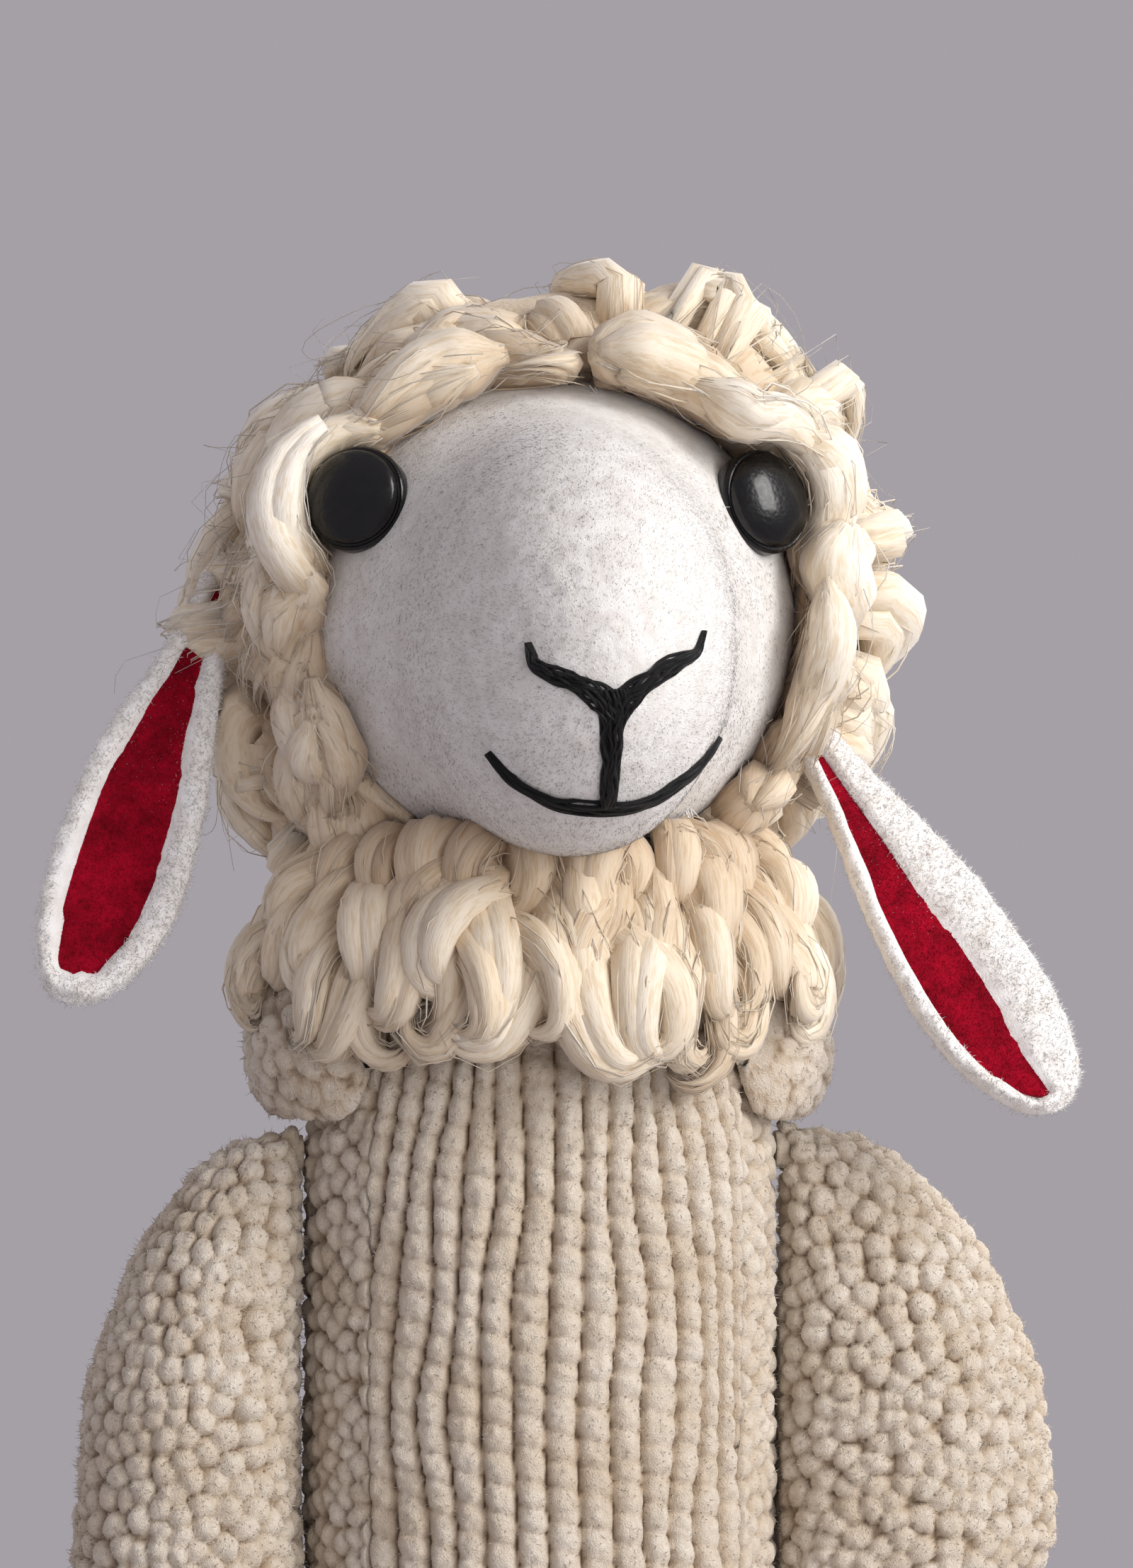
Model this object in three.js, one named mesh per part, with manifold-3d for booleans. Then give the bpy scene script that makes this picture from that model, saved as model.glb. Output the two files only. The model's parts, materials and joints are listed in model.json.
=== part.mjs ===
// A sheep sock puppet. The hand goes in at the hem and up through the knitted body and neck into the head.
// Millimetres, +Z up, the face towards -Y, +X on the puppet's own left. The origin is the centre of the
// hem's opening, on the plane of its lower edge.
import * as THREE from "three";
import { mergeVertices } from "three/addons/utils/BufferGeometryUtils.js";
import Module from "manifold-3d";

const wasm = await Module();
wasm.setup();

// ---- Driving dimensions -------------------------------------------------------------------------

const GAP = 0.3; // between pieces that lie against each other
const FINE = 28; // segments round the body and the head
const PLAIN = 18; // segments round a smaller piece
const RINGS = 14; // from pole to pole of the head and of the fleece

// The passage that the hand takes, from the neck to the finger pocket: an oval.
const NECK_HALF_WIDTH = 29;
const NECK_DEPTH_SHARE = 0.88; // depth of the oval against its width

// The body: an oval tube of thick chenille knit, lined with cotton.
const BODY_TOP = 184;
const BODY_HALF_WIDTH = 51;
const BODY_DEPTH_SHARE = 0.78;
const KNIT = 6; // thickness of the knit
const LINING = 1.2;
const HEM_HEIGHT = 16;
const HEM_PROUD = 3; // how far the hem band stands out past the body
const FRONT_HALF_WIDTH = 40; // of the ribbed front panel
const SHOULDER_Z = BODY_TOP - 34; // where the body starts to narrow
const TOP_HALF_WIDTH = NECK_HALF_WIDTH + 16; // of the body's upper edge
const YOKE = 4; // thickness of the ring that closes the top of the body round the neck

// The collar: a soft roll round the sides and the back of the body's upper edge.
const COLLAR = { halfHeight: 10.5, halfThick: 8, room: 2, front: -12 };

// The neck: a knitted sleeve with a light hoop at its top, on which the head nods and tilts.
const NECK_THICK = 2.5;
const NECK_BOTTOM = BODY_TOP - 16;
const PIVOT_Z = BODY_TOP + 16;
const HOOP_THICK = 3;

// The head: a ball and a muzzle, blended into each other. The muzzle's centre is from the ball's centre.
const HEAD_Z = PIVOT_Z + 63;
const BALL = { halfX: 55, halfY: 53, halfZ: 54 };
const MUZZLE = { y: -42, z: -5, halfX: 33, halfY: 55, halfZ: 44, droop: 12 };
const BLEND = 2.5; // softness of the crease between them
const PLUSH = 3; // thickness of the plush cover
const COVER_SEAM_Y = 6; // plane where the face cover meets the back cover
const MUZZLE_SEAM_Y = -38; // plane where the muzzle's stuffing meets the ball's
const RING_CROWDING = 1.4; // of the head's rings towards the muzzle; 1 spaces them evenly

// The finger pocket, about the head's centre, and the opening under the head.
const POCKET = { radius: NECK_HALF_WIDTH - 2, crown: 24, bottom: -45, thick: 1.2 };
const NECK_HOLE = { radius: POCKET.radius + 5, top: -30 };

// The eyes: domed buttons on shanks, each held by a washer inside the head. They face out and up, in degrees.
const EYE = { x: BALL.halfX - 14, z: 23.5, radius: 11, height: 6, edge: 1.6, out: 30, up: 12 };
const SHANK = { radius: 2, length: 13, plateInset: 1.5, plate: 1, room: 3 };
const WASHER = { radius: 8, thick: 1.6, depth: 10, room: 1 };

// The stitched nose and mouth, about the head's centre, across and up.
const NOSE = { tipX: 19.5, tipZ: -4.5, fork: -18, stemEnd: -34.5 };
const MOUTH = { endX: 25.6, endZ: -27, dip: -40.6 };
const STITCH_RADIUS = 1.7;

// The fleece round the head, and the ruff under it.
const FLEECE = { y: 5, side: 24, front: 11, over: 28, bottom: HEAD_Z - 52, crown: HEAD_Z + 25 };
const FACE_WINDOW = BALL.halfX - 4; // radius of the opening that frames the face
const EYE_CLEAR = 1; // between the fleece and each eye
const CHIN_HALF_WIDTH = 20; // the gap under the chin between the side fleeces
const RUFF = { lift: 2, under: 1, halfX: BALL.halfX + 12, halfY: BALL.halfY + 7, edge: 5, room: 4 };
const BIB = { drop: 14, halfWidth: 34, thick: 10, room: 1.5 }; // the ruff's front, over the chest

// The ears: flat leaves of plush with a red lining, hung from their roots in a slot in the fleece.
const EAR = { length: 100, halfWidth: 14.5, rootHalf: 5, back: 4.2, border: 3.6, lining: 1.6 };
const EAR_LEAN = { forward: 18, z: HEAD_Z - 3 }; // of the slot's plane, and where it crosses the head's axis
const EAR_SLOT = 6; // half the slot's width
const LEFT_EAR = { name: "left", side: 1, z: HEAD_Z - 22, room: 1.5, splay: 30 };
const RIGHT_EAR = { name: "right", side: -1, z: HEAD_Z + 8, room: 8.5, splay: 21 };

// The arms: knitted, stuffed and sewn on at the shoulders, with their inner sides straight.
const ARM = { top: SHOULDER_Z + 4.5, length: 121, knit: 5, room: 3.5, slit: 3, slitDrop: 11 };
const LEFT_ARM = { name: "left", side: 1, halfWidth: 28.5, halfDepth: 21.5 };
const RIGHT_ARM = { name: "right", side: -1, halfWidth: 22.5, halfDepth: 26 };
const TAB = { radius: 4, z: SHOULDER_Z - 1 }; // the strip of knit that joins an arm to the body

// ---- Materials ----------------------------------------------------------------------------------

const cloth = (color, roughness) => new THREE.MeshStandardMaterial({ color, roughness, metalness: 0 });
const chenille = cloth(0xe3d6c4, 0.95);
const cotton = cloth(0xe6dfd2, 0.9);
const plush = cloth(0xf1ede9, 0.95);
const wool = cloth(0xefe3cf, 0.7);
const redFelt = cloth(0xa8102f, 0.95);
const thread = cloth(0x0b0a0c, 0.6);
const stuffing = cloth(0xf4f2ee, 1);
const buttonBlack = cloth(0x0c0c0e, 0.3);
const plastic = cloth(0xd8d8d4, 0.5);

// ---- Solids -------------------------------------------------------------------------------------

const FAR = 500; // past everything here
const X = 0;
const Y = 1;
const Z = 2;
const rad = THREE.MathUtils.degToRad;

// A closed geometry as a manifold-3d solid.
function solid(geometry) {
  const bare = geometry.index ? geometry.toNonIndexed() : geometry.clone();
  for (const name of Object.keys(bare.attributes)) {
    if (name !== "position") bare.deleteAttribute(name);
  }
  const merged = mergeVertices(bare, 1e-4);
  const vertProperties = merged.attributes.position.array;
  const triVerts = new Uint32Array(merged.index.array);
  const made = new wasm.Manifold(new wasm.Mesh({ numProp: 3, vertProperties, triVerts }));
  if (made.volume() <= 0) throw new Error("a solid is empty or inside out");
  return made;
}

// A manifold-3d solid as a geometry, with a flat normal on each face.
function geometryOf(made) {
  const mesh = made.getMesh();
  const geometry = new THREE.BufferGeometry();
  geometry.setAttribute("position", new THREE.BufferAttribute(new Float32Array(mesh.vertProperties), 3));
  geometry.setIndex(new THREE.BufferAttribute(mesh.triVerts, 1));
  const flat = geometry.toNonIndexed();
  flat.computeVertexNormals();
  return flat;
}

function piece(name, made, material) {
  const mesh = new THREE.Mesh(geometryOf(made), material);
  mesh.name = name;
  return mesh;
}

// A profile of [radius, height] points, anticlockwise as seen with the radius to the right, turned about Z.
function lathe(profile, segments, depthShare = 1) {
  const points = profile.map(([r, z]) => new THREE.Vector2(r, z));
  const geometry = new THREE.LatheGeometry(points, segments).rotateX(Math.PI / 2);
  return solid(geometry.scale(1, depthShare, 1));
}

function cylinder(radius, bottom, top, segments = PLAIN, depthShare = 1) {
  return lathe([[0, bottom], [radius, bottom], [radius, top], [0, top]], segments, depthShare);
}

// A closed tube between two radii and two heights.
function tube(outer, inner, bottom, top, segments, depthShare) {
  const wall = [[outer, bottom], [outer, top], [inner, top], [inner, bottom], [outer, bottom]];
  return lathe(wall, segments, depthShare);
}

// A ring with an oval section, about Z.
function roll(middle, z, halfThick, halfHeight, sides, depthShare) {
  const section = [];
  for (let k = 0; k <= sides; k++) {
    const turn = (2 * Math.PI * (k % sides)) / sides;
    section.push([middle + halfThick * Math.cos(turn), z + halfHeight * Math.sin(turn)]);
  }
  return lathe(section, FINE, depthShare);
}

function box(low, high) {
  const size = high.map((v, k) => v - low[k]);
  const geometry = new THREE.BoxGeometry(...size);
  return solid(geometry.translate(...low.map((v, k) => v + size[k] / 2)));
}

// Everything on one side of a plane across an axis, within reach of the puppet.
function beyond(axis, at, direction = 1) {
  const low = [-FAR, -FAR, -FAR];
  const high = [FAR, FAR, FAR];
  (direction > 0 ? low : high)[axis] = at;
  return box(low, high);
}

// A round cord of the given radius along points.
function cord(points, radius) {
  const extrudePath = new THREE.CatmullRomCurve3(points);
  const section = new THREE.Shape().absarc(0, 0, radius, 0, 2 * Math.PI);
  const settings = { steps: 3 * points.length, curveSegments: 3, extrudePath, bevelEnabled: false };
  return solid(new THREE.ExtrudeGeometry(section, settings));
}

// ---- The body -----------------------------------------------------------------------------------

// Half the body's width at a height.
function bodyHalfWidth(z) {
  const narrowed = Math.max(z, SHOULDER_Z);
  return THREE.MathUtils.mapLinear(narrowed, SHOULDER_Z, BODY_TOP, BODY_HALF_WIDTH, TOP_HALF_WIDTH);
}

// A wall that follows the body between two heights, from one depth inside its surface to another.
function bodyWall(bottom, top, outside, inside) {
  const heights = bottom < SHOULDER_Z ? [bottom, SHOULDER_Z, top] : [bottom, top];
  const outer = heights.map((z) => [bodyHalfWidth(z) - outside, z]);
  const inner = heights.map((z) => [bodyHalfWidth(z) - inside, z]).reverse();
  return lathe([...outer, ...inner, outer[0]], FINE, BODY_DEPTH_SHARE);
}

function bodyPieces() {
  const wall = bodyWall(HEM_HEIGHT + GAP, BODY_TOP, 0, KNIT);
  const front = box([-FRONT_HALF_WIDTH, -FAR, 0], [FRONT_HALF_WIDTH, 0, FAR]);
  const rest = box([-FRONT_HALF_WIDTH - GAP, -FAR, 0], [FRONT_HALF_WIDTH + GAP, 0, FAR]);
  const yokeBottom = BODY_TOP - YOKE;
  const yokeOuter = TOP_HALF_WIDTH - KNIT - GAP;
  const yoke = cylinder(yokeOuter, yokeBottom, BODY_TOP, FINE, BODY_DEPTH_SHARE);
  const hole = cylinder(NECK_HALF_WIDTH + GAP, 0, FAR, PLAIN, NECK_DEPTH_SHARE);
  const lining = bodyWall(HEM_HEIGHT + GAP, yokeBottom - GAP, KNIT + GAP, KNIT + GAP + LINING);
  const hemBore = BODY_HALF_WIDTH - KNIT;
  const hem = tube(BODY_HALF_WIDTH + HEM_PROUD, hemBore, 0, HEM_HEIGHT, FINE, BODY_DEPTH_SHARE);
  return [
    piece("body_front_panel", wall.intersect(front), chenille),
    piece("body_back_panel", wall.subtract(rest), chenille),
    piece("body_lining", lining, cotton),
    piece("hem_band", hem, chenille),
    piece("neck_yoke", yoke.subtract(hole), cotton),
    piece("neck_collar", collar(), chenille),
  ];
}

function collar() {
  const { halfHeight, halfThick, room, front } = COLLAR;
  const z = BODY_TOP - halfHeight;
  const middle = bodyHalfWidth(z) + room + halfThick;
  return roll(middle, z, halfThick, halfHeight, 10, BODY_DEPTH_SHARE).subtract(beyond(Y, front, -1));
}

// ---- The neck -----------------------------------------------------------------------------------

function ruff() {
  const { lift, under, halfX, halfY, edge, room } = RUFF;
  const bottom = BODY_TOP + lift;
  const top = FLEECE.bottom - under;
  const rim = [[halfX - edge, bottom], [halfX, bottom + edge], [halfX, top - edge], [halfX - edge, top]];
  const disc = lathe([[0, bottom], ...rim, [0, top]], FINE, halfY / halfX);
  const bib = bodyWall(BODY_TOP - BIB.drop, bottom + edge, -BIB.room - BIB.thick, -BIB.room);
  const chest = box([-BIB.halfWidth, -FAR, 0], [BIB.halfWidth, 0, FAR]);
  return disc.add(bib.intersect(chest)).subtract(cylinder(NECK_HALF_WIDTH + room, 0, FAR));
}

function neckPieces() {
  const outer = NECK_HALF_WIDTH;
  const sleeve = tube(outer, outer - NECK_THICK, NECK_BOTTOM, PIVOT_Z, PLAIN, NECK_DEPTH_SHARE);
  const half = HOOP_THICK / 2;
  const hoop = roll(outer - half, PIVOT_Z + GAP + half, half, half, 6, NECK_DEPTH_SHARE);
  return [
    piece("neck_sleeve", sleeve, chenille),
    piece("neck_hoop", hoop, plastic),
    piece("fleece_ruff", ruff(), wool),
  ];
}

// ---- The head, about the centre of the ball -------------------------------------------------------

// How far an ellipsoid reaches from the head's centre in a direction. The centre lies inside it.
function reachOf(direction, centre, half, droop) {
  const turn = new THREE.Euler(-rad(droop), 0, 0);
  const along = direction.clone().applyEuler(turn).divide(half);
  const from = centre.clone().negate().applyEuler(turn).divide(half);
  const a = along.lengthSq();
  const b = along.dot(from);
  return (-b + Math.sqrt(b * b - a * (from.lengthSq() - 1))) / a;
}

// How far the plush reaches from the head's centre in a direction.
function headReach(direction) {
  const ballHalf = new THREE.Vector3(BALL.halfX, BALL.halfY, BALL.halfZ);
  const ball = reachOf(direction, new THREE.Vector3(), ballHalf, 0);
  const muzzleHalf = new THREE.Vector3(MUZZLE.halfX, MUZZLE.halfY, MUZZLE.halfZ);
  const muzzle = reachOf(direction, new THREE.Vector3(0, MUZZLE.y, MUZZLE.z), muzzleHalf, MUZZLE.droop);
  const most = Math.max(ball, muzzle);
  return most + BLEND * Math.log(Math.exp((ball - most) / BLEND) + Math.exp((muzzle - most) / BLEND));
}

// The head's outer form, grown outwards or, below zero, inwards.
// Its rings lie about the Y axis, and closer together towards the muzzle.
function headForm(grown) {
  const geometry = new THREE.SphereGeometry(1, FINE, RINGS).rotateX(Math.PI);
  const places = geometry.attributes.position;
  const direction = new THREE.Vector3();
  for (let k = 0; k < places.count; k++) {
    direction.fromBufferAttribute(places, k).normalize();
    const fromMuzzle = Math.acos(THREE.MathUtils.clamp(-direction.y, -1, 1));
    const turn = Math.PI * (fromMuzzle / Math.PI) ** RING_CROWDING;
    const out = Math.hypot(direction.x, direction.z);
    const spread = out > 1e-6 ? Math.sin(turn) / out : 0;
    direction.set(direction.x * spread, -Math.cos(turn), direction.z * spread);
    direction.multiplyScalar(headReach(direction) + grown);
    places.setXYZ(k, direction.x, direction.y, direction.z);
  }
  return solid(geometry);
}

// The point on the plush straight in front of (x, z), lifted off it.
function onFace(x, z, lift) {
  let inside = 0;
  let outside = MUZZLE.y - 2 * MUZZLE.halfY;
  for (let k = 0; k < 40; k++) {
    const y = (inside + outside) / 2;
    const at = new THREE.Vector3(x, y, z);
    if (at.length() < headReach(at.clone().normalize()) + lift) inside = y;
    else outside = y;
  }
  return new THREE.Vector3(x, inside, z);
}

// A solid turned from the eye's own axis, where +Z points out of the head, to its place on the face.
function atEye(made, side) {
  const seat = onFace(EYE.x, EYE.z, 0);
  const aim = new THREE.Matrix4()
    .makeTranslation(side * seat.x, seat.y, seat.z)
    .multiply(new THREE.Matrix4().makeRotationZ(side * rad(EYE.out)))
    .multiply(new THREE.Matrix4().makeRotationX(rad(90 - EYE.up)));
  return made.transform(aim.elements);
}

function eyePieces(name, side) {
  const { radius, height, edge } = EYE;
  const dome = [[0, -edge / 2], [radius, -edge / 2], [radius, edge / 2]];
  for (let k = 1; k < 6; k++) {
    const turn = (Math.PI / 2) * (k / 6);
    dome.push([radius * Math.cos(turn), edge / 2 + (height - edge / 2) * Math.sin(turn)]);
  }
  dome.push([0, height]);
  const plateTop = -edge / 2 - GAP;
  const plate = cylinder(radius - SHANK.plateInset, plateTop - SHANK.plate, plateTop);
  const shank = cylinder(SHANK.radius, plateTop - SHANK.length, plateTop - SHANK.plate / 2, 12);
  const low = -WASHER.depth - WASHER.thick;
  const washer = tube(WASHER.radius, SHANK.radius + GAP, low, -WASHER.depth, PLAIN);
  return [
    piece(name + "_eye_dome", atEye(lathe(dome, PLAIN), side), buttonBlack),
    piece(name + "_eye_base", atEye(plate.add(shank), side), buttonBlack),
    piece(name + "_eye_washer", atEye(washer, side), plastic),
  ];
}

// The room that an eye takes: its seat in the plush, its shank's hole and its washer's place.
function eyeSeat(side) {
  const seat = cylinder(EYE.radius + GAP, -EYE.edge / 2 - SHANK.plate - 2 * GAP, EYE.height + PLUSH);
  const hole = cylinder(SHANK.radius + GAP, -SHANK.length - SHANK.room, 0, 12);
  return atEye(seat.add(hole), side);
}
function washerRoom(side) {
  return atEye(cylinder(WASHER.radius + WASHER.room, -SHANK.length - SHANK.room, 0), side);
}

// The pocket's outer form, grown or, below zero, shrunk.
function pocketForm(grown) {
  const r = POCKET.radius + grown;
  const crown = POCKET.crown + grown;
  const bend = crown - 0.6 * r;
  const dome = [[0.87 * r, bend + 0.3 * r], [0.5 * r, bend + 0.52 * r], [0, crown]];
  return lathe([[0, POCKET.bottom], [r, POCKET.bottom], [r, bend], ...dome], PLAIN, NECK_DEPTH_SHARE);
}

function headPieces() {
  const neckHole = cylinder(NECK_HOLE.radius, -FAR, NECK_HOLE.top, PLAIN, NECK_DEPTH_SHARE);
  const seats = eyeSeat(1).add(eyeSeat(-1));
  const rooms = washerRoom(1).add(washerRoom(-1));
  const cover = headForm(0).subtract(headForm(-PLUSH)).subtract(neckHole).subtract(seats);
  const filling = headForm(-PLUSH - GAP).subtract(neckHole).subtract(pocketForm(GAP));
  const inside = filling.subtract(seats).subtract(rooms);
  const mouth = cylinder(POCKET.radius - POCKET.thick, -FAR, POCKET.bottom + 1, PLAIN, NECK_DEPTH_SHARE);
  return [
    piece("face_cover", cover.intersect(beyond(Y, COVER_SEAM_Y, -1)), plush),
    piece("head_back_cover", cover.intersect(beyond(Y, COVER_SEAM_Y + GAP)), cotton),
    piece("head_stuffing", inside.intersect(beyond(Y, MUZZLE_SEAM_Y + GAP)), stuffing),
    piece("muzzle_stuffing", inside.intersect(beyond(Y, MUZZLE_SEAM_Y, -1)), stuffing),
    piece("hand_pocket", pocketForm(0).subtract(pocketForm(-POCKET.thick)).subtract(mouth), cotton),
    ...eyePieces("left", 1),
    ...eyePieces("right", -1),
  ];
}

function stitchPieces() {
  const lift = STITCH_RADIUS + 2 * GAP;
  const { tipX, tipZ, fork, stemEnd } = NOSE;
  const limb = (side) => [
    onFace(side * tipX, tipZ, lift),
    onFace(side * tipX * 0.6, THREE.MathUtils.lerp(tipZ, fork, 0.42), lift),
    onFace(side * tipX * 0.25, THREE.MathUtils.lerp(tipZ, fork, 0.78), lift),
    onFace(0, fork, lift),
  ];
  const stem = [0, 0.5, 1].map((t) => onFace(0, THREE.MathUtils.lerp(fork, stemEnd, t), lift));
  const nose = cord(limb(1), STITCH_RADIUS).add(cord(limb(-1), STITCH_RADIUS)).add(cord(stem, STITCH_RADIUS));
  const mouth = [];
  for (let k = -4; k <= 4; k++) {
    const share = k / 4;
    const z = THREE.MathUtils.lerp(MOUTH.dip, MOUTH.endZ, share * share);
    mouth.push(onFace(MOUTH.endX * share, z, lift));
  }
  return [
    piece("nose_stitching", nose, thread),
    piece("mouth_stitching", cord(mouth, STITCH_RADIUS), thread),
  ];
}

// ---- The fleece, about the head's centre ------------------------------------------------------------

// Everything in front of the ears' slot, or behind it.
function besideEars(direction) {
  const lean = new THREE.Matrix4().makeRotationX(-rad(EAR_LEAN.forward));
  lean.setPosition(0, 0, EAR_LEAN.z - HEAD_Z);
  return beyond(Y, direction * EAR_SLOT, direction).transform(lean.elements);
}

function fleecePieces() {
  const ball = new THREE.SphereGeometry(1, FINE, RINGS).rotateX(Math.PI / 2);
  ball.scale(BALL.halfX + FLEECE.side, BALL.halfY + FLEECE.front, BALL.halfZ + FLEECE.over);
  const outer = solid(ball.translate(0, FLEECE.y, 0));
  const forward = new THREE.Matrix4().makeRotationX(Math.PI / 2);
  const window = cylinder(FACE_WINDOW, 0, FAR, FINE).transform(forward.elements);
  const eyes = [1, -1].map((side) => atEye(cylinder(EYE.radius + EYE_CLEAR, -PLUSH, FAR / 10), side));
  const bottom = FLEECE.bottom - HEAD_Z;
  const crown = FLEECE.crown - HEAD_Z;
  const shell = outer.subtract(headForm(2 * GAP)).intersect(beyond(Z, bottom));
  const neck = cylinder(NECK_HOLE.radius + PLUSH, -FAR, 0);
  const coat = shell.subtract(window).subtract(eyes[0]).subtract(eyes[1]).subtract(neck);
  const low = coat.intersect(beyond(Z, crown - GAP, -1));
  const front = low.intersect(besideEars(-1));
  return [
    piece("fleece_crown", coat.intersect(beyond(Z, crown)), wool),
    piece("fleece_left", front.intersect(beyond(X, CHIN_HALF_WIDTH)), wool),
    piece("fleece_right", front.intersect(beyond(X, -CHIN_HALF_WIDTH, -1)), wool),
    piece("fleece_back", low.intersect(besideEars(1)), wool),
  ];
}

// ---- The ears -------------------------------------------------------------------------------------

// A leaf in the XZ plane that hangs from its root at the origin, its back face at y, inset all round.
function leaf(inset, y, thick) {
  const { length, halfWidth, rootHalf } = EAR;
  const tip = -length + inset;
  const wide = halfWidth - inset;
  const narrow = rootHalf - 0.7 * inset;
  const shape = new THREE.Shape();
  shape.moveTo(-narrow, -inset);
  shape.bezierCurveTo(-narrow, -0.25 * length, -wide, -0.35 * length, -wide, -0.68 * length);
  shape.bezierCurveTo(-wide, -0.88 * length, -0.5 * wide, tip, 0, tip);
  shape.bezierCurveTo(0.5 * wide, tip, wide, -0.88 * length, wide, -0.68 * length);
  shape.bezierCurveTo(wide, -0.35 * length, narrow, -0.25 * length, narrow, -inset);
  const geometry = new THREE.ExtrudeGeometry(shape, { depth: thick, curveSegments: 6, bevelEnabled: false });
  return solid(geometry.rotateX(Math.PI / 2).translate(0, y, 0));
}

function ear({ name, side, z, room, splay }) {
  const slot = new THREE.Group();
  const lean = rad(EAR_LEAN.forward);
  const x = BALL.halfX * Math.sqrt(1 - ((z - HEAD_Z) / BALL.halfZ) ** 2) + EAR.rootHalf + room;
  slot.position.set(side * x, (z - EAR_LEAN.z) * Math.tan(lean), z);
  slot.rotation.x = -lean;
  const hung = new THREE.Group();
  hung.rotation.y = -side * rad(splay);
  const backFace = (EAR.back + GAP + EAR.lining) / 2;
  hung.add(
    piece(name + "_ear_back", leaf(0, backFace, EAR.back), plush),
    piece(name + "_ear_lining", leaf(EAR.border, backFace - EAR.back - GAP, EAR.lining), redFelt),
  );
  slot.add(hung);
  return slot;
}

// ---- The arms -------------------------------------------------------------------------------------

// How wide an arm is down its length, as a share of its widest, from the shoulder to the rounded end.
const ARM_OUTLINE = [
  [0, 0], [0.03, 0.29], [0.08, 0.45], [0.21, 0.7], [0.45, 0.93], [0.75, 1], [0.92, 0.83], [0.985, 0.42], [1, 0],
];
const outlinePoints = ARM_OUTLINE.map(([down, share]) => new THREE.Vector2(down, share));
const armOutline = new THREE.SplineCurve(outlinePoints).getPoints(11);

function armShare(down) {
  const past = armOutline.findIndex((point) => point.x > down);
  if (past < 1) return 0;
  const [from, to] = [armOutline[past - 1], armOutline[past]];
  return THREE.MathUtils.mapLinear(down, from.x, to.x, from.y, to.y);
}

// An arm's form, inset all round, with its top at the origin and its inner side on the plane x = 0.
function armForm({ halfWidth, halfDepth, side }, inset) {
  const length = ARM.length - 2 * inset;
  const outline = armOutline.map(({ x, y }) => new THREE.Vector2(Math.max(y, 0), -inset - x * length));
  outline[0].x = 0;
  outline[outline.length - 1].x = 0;
  const geometry = new THREE.LatheGeometry(outline.reverse(), PLAIN).rotateX(Math.PI / 2);
  geometry.scale(halfWidth - inset, halfDepth - inset, 1);
  const places = geometry.attributes.position;
  for (let k = 0; k < places.count; k++) {
    const shift = halfWidth * armShare(-places.getZ(k) / ARM.length);
    places.setX(k, places.getX(k) + side * shift);
  }
  return solid(geometry);
}

function armPieces(arm) {
  const { name, side } = arm;
  const innerSide = BODY_HALF_WIDTH + ARM.room;
  const sideways = new THREE.Matrix4().makeRotationY(side * Math.PI / 2);
  const slit = cylinder(ARM.slit, 0, 2 * ARM.knit, 12);
  const slitAt = new THREE.Matrix4().makeTranslation(-side, 0, -ARM.slitDrop).multiply(sideways);
  const sleeve = armForm(arm, 0).subtract(armForm(arm, ARM.knit)).subtract(slit.transform(slitAt.elements));
  const tab = cylinder(TAB.radius, BODY_HALF_WIDTH + GAP, innerSide - GAP, 16).transform(sideways.elements);
  const hung = new THREE.Group();
  hung.position.set(side * innerSide, 0, ARM.top);
  hung.add(
    piece(name + "_arm_sleeve", sleeve, chenille),
    piece(name + "_arm_stuffing", armForm(arm, ARM.knit + GAP), stuffing),
  );
  const tabMesh = piece(name + "_shoulder_tab", tab, chenille);
  tabMesh.position.z = TAB.z;
  return [hung, tabMesh];
}

// ---- The puppet -----------------------------------------------------------------------------------

const head = new THREE.Group();
head.position.z = HEAD_Z;
head.add(...headPieces(), ...stitchPieces(), ...fleecePieces());

const puppet = new THREE.Group();
puppet.add(...bodyPieces(), ...neckPieces(), head, ear(LEFT_EAR), ear(RIGHT_EAR));
puppet.add(...armPieces(LEFT_ARM), ...armPieces(RIGHT_ARM));

export default puppet;
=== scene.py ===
"""A sheep sock puppet: knitted body and arms, plush face, wool fleece, velvet-lined ears.

Places are worked out in millimetres in the frame's own axes (+Z up, face towards -Y) and become metres
when a piece is made.
"""
import json
import math

import bpy
import numpy as np
from mathutils import Matrix, Vector, kdtree

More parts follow.
